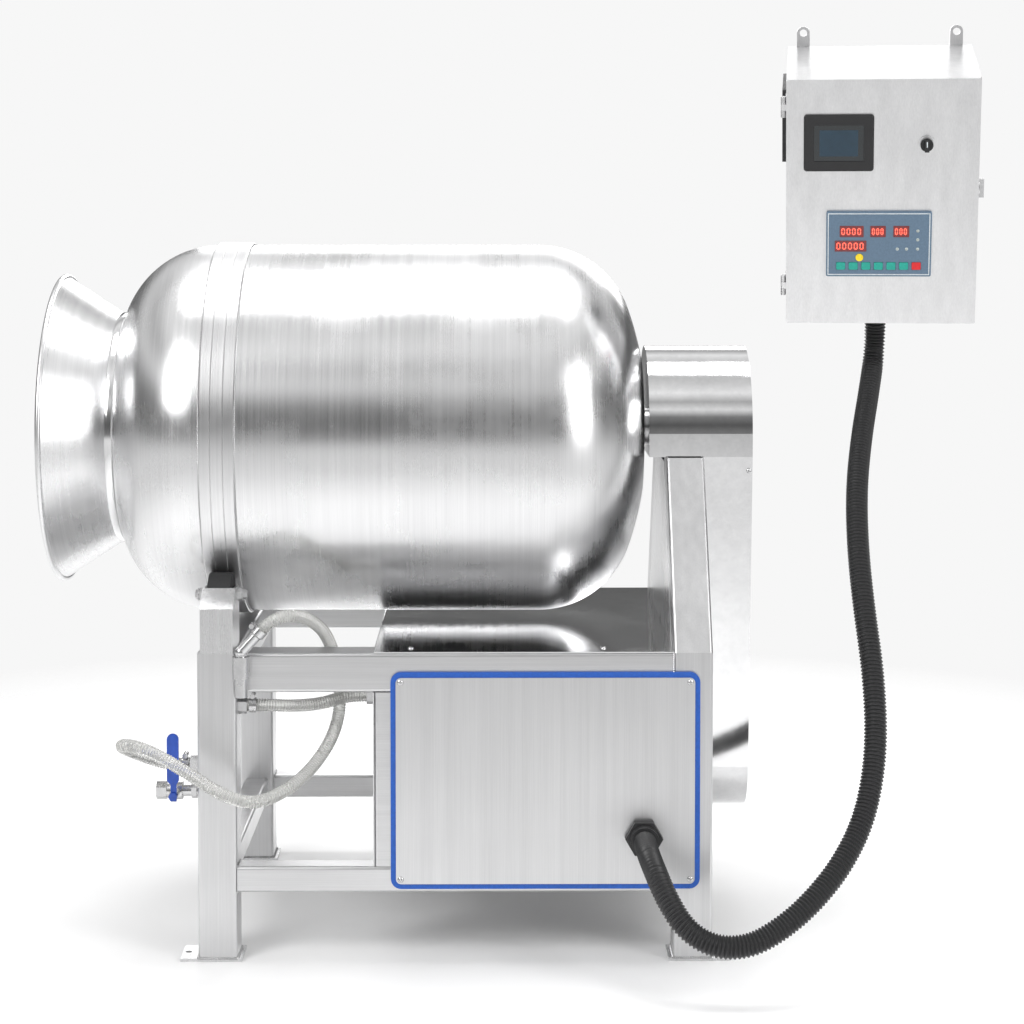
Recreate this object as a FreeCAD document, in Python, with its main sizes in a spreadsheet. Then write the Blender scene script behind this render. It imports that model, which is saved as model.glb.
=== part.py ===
"""Vacuum tumbler for meat: a stainless drum on a welded frame, with its hung control box.

Millimetres. +X runs from the loading mouth to the drive end, +Z is up and the
cabinet's removable panel faces -Y. The origin is on the floor, in the middle of
the four anchor holes.
"""
import FreeCAD
import Part
import Sketcher
import math
import os
import re
from FreeCAD import Placement
from FreeCAD import Rotation
from FreeCAD import Vector

SIZES = {
    # welded frame of square tube
    "frame_length": 787,
    "frame_width": 616,
    "frame_top": 475,
    "post_size": 60,
    "tube_wall": 3,
    "tube_corner": 5,
    "low_rail_size": 40,
    "low_rail_bottom": 107,
    "upright_size": 40,
    "cabinet_length": 517,
    "sheet": 2,
    # feet
    "foot_length": 95,
    "foot_width": 66,
    "foot_thickness": 5,
    "foot_overhang": 28,
    "anchor_radius": 5,
    "anchor_offset": 19,
    # leaning struts and bearing support
    "strut_top": 757,
    "strut_lean": 160,
    "beam_thickness": 10,
    # drum
    "drum_axis": 794,
    "drum_radius": 300,
    "drum_wall": 3,
    "shell_length": 525,
    "ring_width": 54,
    "ring_height": 4,
    "ring_margin": 1.5,
    "ring_groove": 1,
    "knuckle_radius": 155,
    "crown_radius": 600,
    "neck_radius": 188,
    "collar_width": 12,
    "funnel_length": 92,
    "rim_radius": 248,
    "bead_radius": 4.5,
    "baffle_length": 420,
    "baffle_height": 50,
    "baffle_thickness": 3,
    # shaft, hub and bearing
    "hub_radius": 120,
    "hub_thickness": 12,
    "boss_radius": 30,
    "boss_length": 13,
    "shaft_radius": 17.5,
    "bearing_centre": 47.6,
    "bearing_base": 166,
    "bearing_width": 46,
    "bearing_bolt_span": 127,
    "fit_gap": 0.05,
    # riding rollers
    "roller_radius": 34,
    "roller_width": 40,
    "roller_angle": 45,
    "roll_gap": 0.3,
    "axle_radius": 6,
    "bracket_width": 50,
    "bracket_depth": 90,
    "bracket_cap_low": 68,
    "bracket_cap_high": 95,
    "bracket_cap_run": 33,
    # lid
    "seat_depth": 19,
    "seat_thickness": 4,
    "lid_gap": 2,
    "lid_thickness": 10,
    "gasket_height": 4,
    "lid_handle_span": 90,
    "lid_handle_reach": 34,
    "lid_handle_radius": 5,
    "port_radius": 12,
    "port_length": 34,
    # belt drive
    "motor_axis": 255,
    "pulley_offset": 40.5,
    "pulley_width": 36,
    "pulley_rim": 6,
    "pulley_web": 10,
    "pulley_hub": 16,
    "shaft_end": 6,
    "motor_shaft_hold": 20,
    "drum_pulley_radius": 112,
    "motor_pulley_radius": 44,
    "motor_shaft_radius": 12.5,
    "groove_pitch": 15,
    "groove_top": 13,
    "groove_bottom": 7,
    "groove_depth": 10,
    "belt_gap": 0.4,
    # belt guard
    "guard_reach": 86.5,
    "guard_length": 165,
    "guard_radius": 134,
    "guard_hole": 38,
    "low_guard_radius": 88,
    # cabinet panel
    "panel_length": 456,
    "panel_height": 317,
    "panel_offset": 256,
    "panel_middle": 280,
    "panel_corner": 8,
    "gasket_reveal": 8,
    "gasket_thickness": 5,
    "gasket_width": 26,
    "screw_inset": 7,
    "screw_radius": 5,
    "screw_height": 3,
    "gland_across": 150,
    "gland_down": 86,
    "gland_flat": 50,
    "gland_collar": 22,
    "gland_length": 32,
    "conduit_radius": 17.5,
    # vacuum line and water trap
    "hose_radius": 10,
    "trap_port": 298,
    "pump_port": 390,
    "trap_floor": 235,
    "collar_flat": 24,
    "collar_length": 14,
    "clamp_width": 11,
    "clamp_thickness": 1.5,
    "wall_port_across": 222,
    "wall_port_height": 393,
    # drain valve
    "valve_height": 258,
    "valve_reach": 66,
    "valve_stem_reach": 35,
    "valve_bore": 7,
    "stem_radius": 4,
    "lever_length": 96,
    "lever_width": 18,
    "lever_neck": 9,
    "lever_thickness": 4,
    # control box, in its own hung and turned frame
    "box_x": 697,
    "box_y": 25,
    "box_z": 1424,
    "box_lean": 16.5,
    "box_turn": -8,
    "box_width": 300,
    "box_depth": 250,
    "box_height": 400,
    "box_sheet": 1.5,
    "door_depth": 8,
    "door_gap": 0.5,
    "door_corner": 3,
    "flange_width": 12,
    "seal_width": 10,
    "lug_spacing": 250,
    "lug_width": 21,
    "lug_rise": 33,
    "lug_overlap": 40,
    "lug_thickness": 3,
    "lug_hole": 6,
    "hinge_offset": 4.5,
    "knuckle_size": 4,
    "knuckle_height": 11,
    "pin_radius": 2.5,
    "hinge_first": 45,
    "hinge_second": 338,
    "vent_size": 120,
    "vent_thickness": 7,
    "vent_drop": 90,
    "vent_back": 125,
    "screen_width": 109,
    "screen_height": 91,
    "screen_thickness": 6,
    "screen_across": 82,
    "screen_drop": 101,
    "glass_width": 78,
    "glass_height": 58,
    "knob_across": 218,
    "knob_drop": 104,
    "knob_ring": 13.6,
    "knob_radius": 10,
    "knob_height": 15,
    "keypad_width": 165,
    "keypad_height": 107,
    "keypad_thickness": 5,
    "keypad_across": 146,
    "keypad_drop": 266,
    "key_width": 14,
    "key_height": 12,
    "key_pitch": 19.8,
    "key_row_drop": 36,
    "round_key_radius": 6,
    "round_key_across": -30,
    "round_key_drop": 22,
    "key_travel": 0.8,
    "key_clearance": 0.25,
    "latch_drop": 184,
    "latch_radius": 11,
    "box_gland_across": -4,
}

doc = FreeCAD.newDocument("meat_vacuum_tumbler")
sheet = doc.addObject("Spreadsheet::Sheet", "Sizes")
for row, (alias, number) in enumerate(SIZES.items(), start=1):
    sheet.set("A%d" % row, alias)
    sheet.set("B%d" % row, str(number))
    sheet.setAlias("B%d" % row, alias)
doc.recompute()

NODES = {}


# ---------------------------------------------------------------- expressions

def bound(expression):
    """The expression with every size's name pointing at its cell."""
    def cell(word):
        return "Sizes." + word.group(0) if word.group(0) in SIZES else word.group(0)
    return re.sub(r"[A-Za-z_][A-Za-z_0-9]*", cell, str(expression))


def value(expression):
    """The number that an expression of the sizes has now."""
    result = sheet.evalExpression(bound(expression))
    return float(getattr(result, "Value", result))


def bind(part, **properties):
    for name, expression in properties.items():
        part.setExpression(name, bound(expression))


def place(part, x="0", y="0", z="0"):
    """Tie an object's place to the sizes."""
    for axis, expression in zip("xyz", (x, y, z)):
        part.setExpression("Placement.Base." + axis, bound(expression))
    return part


def node(label, part):
    """Name a finished sub-part."""
    part.Label = label
    NODES[label] = part
    return part


# ---------------------------------------------------------------- primitives

ALONG = {
    "x": Rotation(Vector(0, 1, 0), 90),
    "y": Rotation(Vector(1, 0, 0), -90),
    "z": Rotation(),
}


def block(name, length, width, height, x, y, z):
    part = doc.addObject("Part::Box", name)
    bind(part, Length=length, Width=width, Height=height)
    return place(part, x, y, z)


def rod(name, radius, length, x, y, z, along="z"):
    part = doc.addObject("Part::Cylinder", name)
    part.Placement = Placement(Vector(), ALONG[along])
    bind(part, Radius=radius, Height=length)
    return place(part, x, y, z)


def hexagon(name, flat, length, x, y, z, along="z"):
    """Six-sided prism, sized across its flats."""
    part = doc.addObject("Part::Prism", name)
    part.Polygon = 6
    part.Placement = Placement(Vector(), ALONG[along])
    bind(part, Circumradius="(%s) / sqrt(3)" % flat, Height=length)
    return place(part, x, y, z)


def fuse(name, *parts):
    part = doc.addObject("Part::MultiFuse", name)
    part.Shapes = list(parts)
    return part


def cut(name, base, *tools):
    part = doc.addObject("Part::Cut", name)
    part.Base = base
    part.Tool = tools[0] if len(tools) == 1 else fuse(name + "_tools", *tools)
    return part


def group(name, *parts):
    """Several solids that share one sub-part."""
    part = doc.addObject("Part::Compound", name)
    part.Links = list(parts)
    return part


def mirrored(name, source, normal=Vector(0, 1, 0)):
    part = doc.addObject("Part::Mirroring", name)
    part.Source = source
    part.Normal = normal
    return part


# ---------------------------------------------------------------- sketched bodies

def rectangle(x, y, width, height):
    right = "(%s) + (%s)" % (x, width)
    upper = "(%s) + (%s)" % (y, height)
    return [(x, y), (right, y), (right, upper), (x, upper)]


def rounded(x, y, width, height, radius):
    """Rectangle with rounded corners, anticlockwise."""
    right = "(%s) + (%s)" % (x, width)
    upper = "(%s) + (%s)" % (y, height)
    left_in = "(%s) + (%s)" % (x, radius)
    right_in = "%s - (%s)" % (right, radius)
    low_in = "(%s) + (%s)" % (y, radius)
    upper_in = "%s - (%s)" % (upper, radius)
    return [(left_in, y), (right_in, y, radius, 1), (right, low_in), (right, upper_in, radius, 1),
            (right_in, upper), (left_in, upper, radius, 1), (x, upper_in), (x, low_in, radius, 1)]


def half_round(middle, base, radius):
    """Corners of a half circle that bulges upwards, from its right end to its left end."""
    return [("(%s) + (%s)" % (middle, radius), base, radius, 1),
            (middle, "(%s) + (%s)" % (base, radius), radius, 1),
            ("(%s) - (%s)" % (middle, radius), base)]


def arc_between(start, end, radius, side):
    """Arc from start to end; side 1 has its centre on the left of the way."""
    chord = end.sub(start)
    middle = start.add(end).multiply(0.5)
    rise = math.sqrt(max(radius ** 2 - (chord.Length / 2) ** 2, 0))
    left = Vector(-chord.y, chord.x, 0).normalize()
    centre = middle.add(left.multiply(side * rise))
    first, last = (start, end) if side > 0 else (end, start)
    angles = [math.atan2(point.y - centre.y, point.x - centre.x) for point in (first, last)]
    return Part.ArcOfCircle(Part.Circle(centre, Vector(0, 0, 1), radius), angles[0], angles[1])


def draw_circle(sketch, x, y, radius):
    centre = Vector(value(x), value(y), 0)
    index = sketch.addGeometry(Part.Circle(centre, Vector(0, 0, 1), value(radius)), False)
    limits = (("DistanceX", -1, 1, index, 3, centre.x, x), ("DistanceY", -1, 1, index, 3, centre.y, y),
              ("Radius", index, value(radius), radius))
    for limit in limits:
        number = sketch.addConstraint(Sketcher.Constraint(*limit[:-1]))
        sketch.setExpression("Constraints[%d]" % number, bound(limit[-1]))


def draw_outline(sketch, corners):
    """Closed outline; a corner may add the radius and side of the arc that leaves it."""
    points = [Vector(value(corner[0]), value(corner[1]), 0) for corner in corners]
    first = sketch.GeometryCount
    starts = []
    for index, corner in enumerate(corners):
        start = points[index]
        end = points[(index + 1) % len(points)]
        if len(corner) == 4:
            shape = arc_between(start, end, value(corner[2]), corner[3])
        else:
            shape = Part.LineSegment(start, end)
        sketch.addGeometry(shape, False)
        starts.append(2 if len(corner) == 4 and corner[3] < 0 else 1)
    for index in range(len(corners)):
        following = (index + 1) % len(corners)
        sketch.addConstraint(Sketcher.Constraint("Coincident", first + index, 3 - starts[index],
                                                 first + following, starts[following]))
    for index, corner in enumerate(corners):
        for kind, place_now, expression in (("DistanceX", points[index].x, corner[0]),
                                            ("DistanceY", points[index].y, corner[1])):
            limit = Sketcher.Constraint(kind, -1, 1, first + index, starts[index], place_now)
            number = sketch.addConstraint(limit)
            sketch.setExpression("Constraints[%d]" % number, bound(expression))
        if len(corner) == 4:
            limit = Sketcher.Constraint("Radius", first + index, value(corner[2]))
            number = sketch.addConstraint(limit)
            sketch.setExpression("Constraints[%d]" % number, bound(corner[2]))


def sketched(body, plane, loops, offset="0"):
    """Sketch of one or more loops on one of the body's own planes."""
    sketch = body.newObject("Sketcher::SketchObject", body.Name + "_sketch")
    support = [item for item in body.Origin.OriginFeatures if item.Role == plane + "_Plane"][0]
    sketch.AttachmentSupport = (support, [""])
    sketch.MapMode = "FlatFace"
    sketch.setExpression("AttachmentOffset.Base.z", bound(offset))
    for loop in loops:
        if loop[0] == "circle":
            draw_circle(sketch, *loop[1:])
        else:
            draw_outline(sketch, loop)
    return sketch


def feature(body, kind, plane, loops, start, length):
    """Pad or pocket from start to start + length along the plane's positive axis."""
    offset = "-(%s) - (%s)" % (start, length) if plane == "XZ" else start
    step = body.newObject("PartDesign::" + kind, body.Name + "_" + kind.lower())
    step.Profile = sketched(body, plane, loops, offset)
    step.Reversed = kind == "Pocket"
    bind(step, Length=length)
    return step


def padded(name, plane, loops, start, length):
    body = doc.addObject("PartDesign::Body", name)
    feature(body, "Pad", plane, loops, start, length)
    return body


def pocketed(body, plane, loops, start, length):
    feature(body, "Pocket", plane, loops, start, length)
    return body


def turned(name, *loops):
    """Body turned about the X axis; its outlines are places along X and radii."""
    body = doc.addObject("PartDesign::Body", name)
    sketch = sketched(body, "XZ", loops)
    step = body.newObject("PartDesign::Revolution", name + "_turned")
    step.Profile = sketch
    step.ReferenceAxis = (sketch, ["H_Axis"])
    step.Angle = 360
    return body


def edges_where(shape, wanted):
    """Names of the straight edges whose direction passes a test."""
    names = []
    for number, edge in enumerate(shape.Edges, start=1):
        direction = edge.tangentAt(edge.FirstParameter)
        if wanted(direction):
            names.append("Edge%d" % number)
    return names


def faces_where(shape, wanted):
    """Names of the faces whose outward normal and middle pass a test."""
    names = []
    for number, face in enumerate(shape.Faces, start=1):
        if wanted(face.normalAt(0, 0), face.CenterOfMass):
            names.append("Face%d" % number)
    return names


# ---------------------------------------------------------------- shared places

POST_X = "(frame_length / 2 - post_size / 2)"
POST_Y = "(frame_width / 2 - post_size / 2)"
CABINET_X = "(frame_length / 2 - cabinet_length)"
LOW_RAIL_TOP = "(low_rail_bottom + low_rail_size)"
TOP_RAIL_BOTTOM = "(frame_top - post_size)"
RING_X = "(-" + POST_X + ")"
SHELL_FRONT = "(" + RING_X + " - ring_width / 2 - ring_margin)"
SHELL_REAR = "(" + SHELL_FRONT + " + shell_length)"
RING_RADIUS = "(drum_radius + ring_height)"
ROLLER_REACH = "(" + RING_RADIUS + " + roller_radius + roll_gap)"
ROLLER_Y = "(" + ROLLER_REACH + " * sin(roller_angle * 1 deg))"
ROLLER_Z = "(drum_axis - " + ROLLER_REACH + " * cos(roller_angle * 1 deg))"
PULLEY_X = "(frame_length / 2 + pulley_offset)"
GUARD_FRONT = "(frame_length / 2 - guard_reach)"
GUARD_BACK = "(%s + guard_length)" % GUARD_FRONT
PANEL_X = "(frame_length / 2 - panel_offset)"
PANEL_Y = "(-frame_width / 2 - gasket_thickness - sheet)"
GLAND_X = "(" + PANEL_X + " + gland_across)"
GLAND_Z = "(panel_middle - gland_down)"
BOX_FRONT = "(-box_depth)"
SEAM = "(-box_depth + door_depth)"


# ---------------------------------------------------------------- welded frame

def square_tube(name, size, along, across, up, start, length):
    """Square tube with rounded corners along an axis; across and up are its middle."""
    plane = {"x": "YZ", "y": "XZ", "z": "XY"}[along]
    low = "(%s) - %s / 2" % (across, size)
    high = "(%s) - %s / 2" % (up, size)
    outer = rounded(low, high, size, size, "tube_corner")
    inner = rectangle(low + " + tube_wall", high + " + tube_wall",
                      size + " - 2 * tube_wall", size + " - 2 * tube_wall")
    return padded(name, plane, [outer, inner], start, length)


def frame_posts():
    posts = []
    for side_x in (-1, 1):
        for side_y in (-1, 1):
            name = "post_%d" % (len(posts) + 1)
            posts.append(square_tube(name, "post_size", "z", "%d * %s" % (side_x, POST_X),
                                     "%d * %s" % (side_y, POST_Y), "foot_thickness",
                                     "frame_top - foot_thickness"))
    trap_post = posts[0]
    pocketed(trap_post, "YZ", [("circle", "-" + POST_Y, "trap_port", "valve_bore"),
                               ("circle", "-" + POST_Y, "valve_height", "valve_bore")],
             "-frame_length / 2 - 1", "tube_wall + 2")
    pocketed(trap_post, "YZ", [("circle", "-" + POST_Y, "pump_port", "valve_bore")],
             "-frame_length / 2 + post_size - tube_wall - 1", "tube_wall + 2")
    inside = "post_size - 2 * tube_wall"
    trap_floor = block("trap_floor_plate", inside, inside, "tube_wall",
                       "-frame_length / 2 + tube_wall", "-frame_width / 2 + tube_wall", "trap_floor")
    trap_roof = block("trap_roof_plate", inside, inside, "tube_wall",
                      "-frame_length / 2 + tube_wall", "-frame_width / 2 + tube_wall",
                      "frame_top - tube_wall")
    node("frame_posts", group("frame_posts", *posts, trap_floor, trap_roof))


def foot_plates():
    plates = []
    for side_x in (-1, 1):
        for side_y in (-1, 1):
            x = "frame_length / 2 + foot_overhang - foot_length" if side_x > 0 \
                else "-frame_length / 2 - foot_overhang"
            y = "frame_width / 2 - foot_width" if side_y > 0 else "-frame_width / 2"
            hole = ("circle", "%d * (frame_length / 2 + anchor_offset)" % side_x,
                    "%d * (frame_width / 2 - foot_width / 2)" % side_y, "anchor_radius")
            plates.append(padded("foot_%d" % (len(plates) + 1), "XY",
                                 [rectangle(x, y, "foot_length", "foot_width"), hole],
                                 "0", "foot_thickness"))
    node("foot_plates", group("foot_plates", *plates))


def top_rails():
    inner_length = "frame_length - 2 * post_size"
    inner_width = "frame_width - 2 * post_size"
    middle = "frame_top - post_size / 2"
    rails = []
    for side in (-1, 1):
        rails.append(square_tube("top_rail_%d" % (side + 2), "post_size", "x",
                                 "%d * %s" % (side, POST_Y), middle,
                                 "-(%s) / 2" % inner_length, inner_length))
        rails.append(square_tube("top_cross_rail_%d" % (side + 2), "post_size", "y",
                                 "%d * %s" % (side, POST_X), middle,
                                 "-(%s) / 2" % inner_width, inner_width))
    node("top_rails", group("top_rails", *rails))


def lower_frame():
    """Lower rails, flush with the posts' outer faces, and the cabinet's two uprights."""
    inner_length = "frame_length - 2 * post_size"
    inner_width = "frame_width - 2 * post_size"
    rail_y = "(frame_width / 2 - low_rail_size / 2)"
    upright_y = "(frame_width / 2 - upright_size / 2)"
    middle = "low_rail_bottom + low_rail_size / 2"
    parts = []
    for side in (-1, 1):
        parts.append(square_tube("low_rail_%d" % (side + 2), "low_rail_size", "x",
                                 "%d * %s" % (side, rail_y), middle,
                                 "-(%s) / 2" % inner_length, inner_length))
        parts.append(square_tube("low_cross_rail_%d" % (side + 2), "low_rail_size", "y",
                                 "%d * %s" % (side, POST_X), middle,
                                 "-(%s) / 2" % inner_width, inner_width))
        parts.append(square_tube("upright_%d" % (side + 2), "upright_size", "z",
                                 CABINET_X + " + upright_size / 2", "%d * %s" % (side, upright_y),
                                 LOW_RAIL_TOP, TOP_RAIL_BOTTOM + " - " + LOW_RAIL_TOP))
    node("lower_frame", group("lower_frame", *parts))


def strut_face(height, inset="0"):
    """Distance of a strut's outer face from the middle plane at a height."""
    return ("(frame_width / 2 - (%s) - strut_lean * ((%s) - frame_top) / (strut_top - frame_top))"
            % (inset, height))


def leaning_struts():
    struts = []
    for side in (-1, 1):
        name = "strut_%d" % (side + 2)
        start = "frame_length / 2 - post_size"

        def corners(outer, inner):
            return [("%d * %s" % (side, strut_face("frame_top", outer)), "frame_top"),
                    ("%d * %s" % (side, strut_face("frame_top", inner)), "frame_top"),
                    ("%d * %s" % (side, strut_face("strut_top", inner)), "strut_top"),
                    ("%d * %s" % (side, strut_face("strut_top", outer)), "strut_top")]

        strut = padded(name, "YZ", [corners("0", "post_size")], start, "post_size")
        doc.recompute()
        pad = strut.Tip
        rounding = strut.newObject("PartDesign::Fillet", name + "_corners")
        rounding.Base = (pad, edges_where(pad.Shape, lambda way: abs(way.z) > 0.5))
        bind(rounding, Radius="tube_corner")
        pocketed(strut, "YZ", [corners("1.15 * tube_wall", "post_size - 1.15 * tube_wall")],
                 start + " + tube_wall", "post_size - 2 * tube_wall")
        struts.append(strut)
    node("leaning_struts", group("leaning_struts", *struts))


def bearing_support():
    """Sheet and beam welded between the two struts; the bearing stands on the beam."""
    top = "drum_axis - bearing_centre"
    bottom = top + " - beam_thickness"

    def between(low, high):
        return [("-" + strut_face(low, "post_size"), low), (strut_face(low, "post_size"), low),
                (strut_face(high, "post_size"), high), ("-" + strut_face(high, "post_size"), high)]

    plate = padded("strut_sheet", "YZ", [between("frame_top", bottom)],
                   "frame_length / 2 - post_size", "sheet")
    beam = padded("bearing_beam", "YZ", [between(bottom, top)],
                  "frame_length / 2 - post_size", "post_size")
    node("bearing_support", group("bearing_support", plate, beam))


def shaft_bearing():
    """Pillow block with its two bolts."""
    base_z = "drum_axis - bearing_centre"
    centre_x = POST_X
    width = "bearing_width"
    foot = block("bearing_foot", width, "bearing_base", "16", centre_x + " - bearing_width / 2",
                 "-bearing_base / 2", base_z)
    neck = block("bearing_neck", "bearing_width * 0.7", "80", "bearing_centre",
                 centre_x + " - bearing_width * 0.35", "-40", base_z)
    head = rod("bearing_head", "bearing_centre - 5", "bearing_width * 0.7",
               centre_x + " - bearing_width * 0.35", "0", "drum_axis", "x")
    race = rod("bearing_race", "shaft_radius + 10", width, centre_x + " - bearing_width / 2",
               "0", "drum_axis", "x")
    bore = rod("bearing_bore", "shaft_radius + fit_gap", width + " + 2",
               centre_x + " - bearing_width / 2 - 1", "0", "drum_axis", "x")
    body = cut("pillow_block", fuse("bearing_casting", foot, neck, head, race), bore)
    bolts = []
    for side in (-1, 1):
        bolts.append(hexagon("bearing_bolt_%d" % (side + 2), "20", "10", centre_x,
                             "%d * bearing_bolt_span / 2" % side, base_z + " + 16"))
    node("shaft_bearing", group("shaft_bearing", body, *bolts))


# ---------------------------------------------------------------- roller brackets

def roller_bracket(name):
    """Folded box on the near post: front wall, slanted cap and two cheeks."""
    profile = [("-frame_width / 2", "frame_top"),
               ("-frame_width / 2 + bracket_depth", "frame_top"),
               ("-%s + roller_radius / 2" % ROLLER_Y, ROLLER_Z + " + 2 * axle_radius"),
               ("-frame_width / 2 + bracket_cap_run", "frame_top + bracket_cap_high"),
               ("-frame_width / 2", "frame_top + bracket_cap_low")]
    bracket = padded(name, "YZ", [profile], RING_X + " - bracket_width / 2", "bracket_width")
    doc.recompute()
    solid = bracket.Tip
    shelled = bracket.newObject("PartDesign::Thickness", name + "_folded")
    opened = faces_where(solid.Shape, lambda normal, middle: abs(normal.x) < 0.5
                         and middle.y > value("-frame_width / 2 + bracket_cap_run")
                         and middle.z > value("frame_top") + 1)
    shelled.Base = (solid, opened)
    bind(shelled, Value="tube_wall")
    shelled.Reversed = True
    shelled.Join = 1
    pocketed(bracket, "YZ", [("circle", "-" + ROLLER_Y, ROLLER_Z, "axle_radius + fit_gap")],
             RING_X + " - bracket_width / 2 - 1", "bracket_width + 2")
    return bracket


def roller_brackets():
    near = roller_bracket("near_bracket")
    shank = rod("near_axle_shank", "axle_radius", "bracket_width + 16",
                RING_X + " - bracket_width / 2 - 10", "-" + ROLLER_Y, ROLLER_Z, "x")
    head = hexagon("near_axle_head", "18", "7", RING_X + " + bracket_width / 2", "-" + ROLLER_Y,
                   ROLLER_Z, "x")
    nut = hexagon("near_axle_nut", "18", "8", RING_X + " - bracket_width / 2 - 8", "-" + ROLLER_Y,
                  ROLLER_Z, "x")
    near_axle = fuse("near_axle", shank, head, nut)
    far = mirrored("far_bracket", near)
    far_axle = mirrored("far_axle", near_axle)
    node("roller_brackets", group("roller_brackets", near, near_axle, far, far_axle))


def rollers():
    """Solid rubber-faced rollers with a thin hub standing out at each end."""
    half = "roller_width / 2"
    for side, label in ((-1, "near_roller"), (1, "far_roller")):
        bore = "axle_radius + fit_gap"
        outline = [("-" + half, bore), (half, bore), (half, "axle_radius + 5"),
                   (half + " - 1.5", "axle_radius + 5"), (half + " - 1.5", "roller_radius - 2"),
                   (half + " - 3.5", "roller_radius"), ("-" + half + " + 3.5", "roller_radius"),
                   ("-" + half + " + 1.5", "roller_radius - 2"),
                   ("-" + half + " + 1.5", "axle_radius + 5"), ("-" + half, "axle_radius + 5")]
        roller = turned(label, outline)
        node(label, place(roller, RING_X, "%d * %s" % (side, ROLLER_Y), ROLLER_Z))


# ---------------------------------------------------------------- drum

KNUCKLE_AXIS = "(drum_radius - knuckle_radius)"
CROWN_DEPTH = "sqrt((crown_radius - knuckle_radius)^2 - %s^2)" % KNUCKLE_AXIS
NECK_X = "(%s - sqrt(knuckle_radius^2 - (neck_radius - %s)^2))" % (SHELL_FRONT, KNUCKLE_AXIS)
HUB_X = "(%s - %s + sqrt(crown_radius^2 - hub_radius^2))" % (SHELL_REAR, CROWN_DEPTH)
MOUTH_X = "(%s - collar_width)" % NECK_X
SEAT_X = "(%s - collar_width + seat_depth - 8)" % NECK_X
INNER_NECK = "(neck_radius - drum_wall)"
SHELL_INNER = "(drum_radius - drum_wall)"


def on_axis(body):
    """Stand a turned body on the drum's axis."""
    return place(body, "0", "0", "drum_axis")


def drum_shell():
    outline = rectangle(SHELL_FRONT, SHELL_INNER, "shell_length", "drum_wall")
    node("drum_shell", on_axis(turned("drum_shell", outline)))


def riding_ring():
    """Flat band on the shell over the rollers, with two turned grooves."""
    start = "(%s - ring_width / 2)" % RING_X
    outline = [(start, "drum_radius"), (start + " + ring_width", "drum_radius"),
               (start + " + ring_width", RING_RADIUS + " - 1"),
               (start + " + ring_width - 1", RING_RADIUS)]
    for share in ("0.68", "0.32"):
        middle = start + " + ring_width * " + share
        outline += [(middle + " + ring_groove", RING_RADIUS), (middle, RING_RADIUS + " - ring_groove"),
                    (middle + " - ring_groove", RING_RADIUS)]
    outline += [(start + " + 1", RING_RADIUS), (start, RING_RADIUS + " - 1")]
    node("riding_ring", on_axis(turned("riding_ring", outline)))


def front_head():
    """Rounded shoulder from the shell to the neck."""
    inner = "knuckle_radius - drum_wall"
    inner_x = "%s - sqrt((%s)^2 - (neck_radius - %s)^2)" % (SHELL_FRONT, inner, KNUCKLE_AXIS)
    outline = [(SHELL_FRONT, SHELL_INNER), (SHELL_FRONT, "drum_radius", "knuckle_radius", 1),
               (NECK_X, "neck_radius"), (inner_x, "neck_radius", inner, -1)]
    node("front_head", on_axis(turned("front_head", outline)))


def rear_head():
    """Dished head: a knuckle arc that runs into the flatter crown arc."""
    reach = "(crown_radius - knuckle_radius)"
    crown_x = "(%s - %s)" % (SHELL_REAR, CROWN_DEPTH)
    inner_crown = "(crown_radius - drum_wall)"

    def meeting(radius):
        return ("%s + %s * %s / %s" % (crown_x, radius, CROWN_DEPTH, reach),
                "%s * %s / %s" % (radius, KNUCKLE_AXIS, reach))

    outline = [(SHELL_REAR, SHELL_INNER, "knuckle_radius - drum_wall", -1),
               meeting(inner_crown) + (inner_crown, -1),
               ("%s + sqrt(%s^2 - hub_radius^2)" % (crown_x, inner_crown), "hub_radius"),
               (HUB_X, "hub_radius", "crown_radius", 1),
               meeting("crown_radius") + ("knuckle_radius", 1),
               (SHELL_REAR, "drum_radius")]
    node("rear_head", on_axis(turned("rear_head", outline)))


def neck_collar():
    """Short neck through the front head, with the lid's seat ring inside it."""
    neck = turned("neck_tube", rectangle(MOUTH_X, INNER_NECK, "collar_width + drum_wall", "drum_wall"))
    seat = turned("lid_seat", rectangle(SEAT_X, INNER_NECK + " - seat_depth", "seat_thickness",
                                        "seat_depth"))
    node("neck_collar", group("neck_collar", on_axis(neck), on_axis(seat)))


def mouth_funnel():
    """Flared loading mouth with a rolled rim."""
    rim_x = "(%s - funnel_length)" % MOUTH_X
    sheet_outline = [(MOUTH_X, INNER_NECK), (MOUTH_X, "neck_radius"), (rim_x, "rim_radius"),
                     (rim_x, "rim_radius - drum_wall")]
    cone = on_axis(turned("funnel_sheet", sheet_outline))
    bead = doc.addObject("Part::Torus", "funnel_bead")
    bead.Placement = Placement(Vector(), ALONG["x"])
    bind(bead, Radius1="rim_radius", Radius2="bead_radius")
    place(bead, rim_x, "0", "drum_axis")
    node("mouth_funnel", fuse("mouth_funnel", cone, bead))


def drum_baffles():
    """Three folded paddles along the shell's inner wall."""
    root = "%s - 0.05" % SHELL_INNER
    tip = "%s - baffle_height" % SHELL_INNER
    half = "baffle_thickness / 2"
    profile = [("-" + half, root), ("-" + half, tip), ("14", tip + " - 12"), ("16", tip + " - 9.5"),
               (half, tip + " + 1"), (half, root)]
    paddles = []
    for turn in (60, 180, 300):
        paddle = padded("paddle_%d" % turn, "YZ", [profile], SHELL_FRONT + " + 50", "baffle_length")
        paddle.Placement = Placement(Vector(), Rotation(Vector(1, 0, 0), turn))
        paddles.append(on_axis(paddle))
    node("drum_baffles", group("drum_baffles", *paddles))


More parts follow.
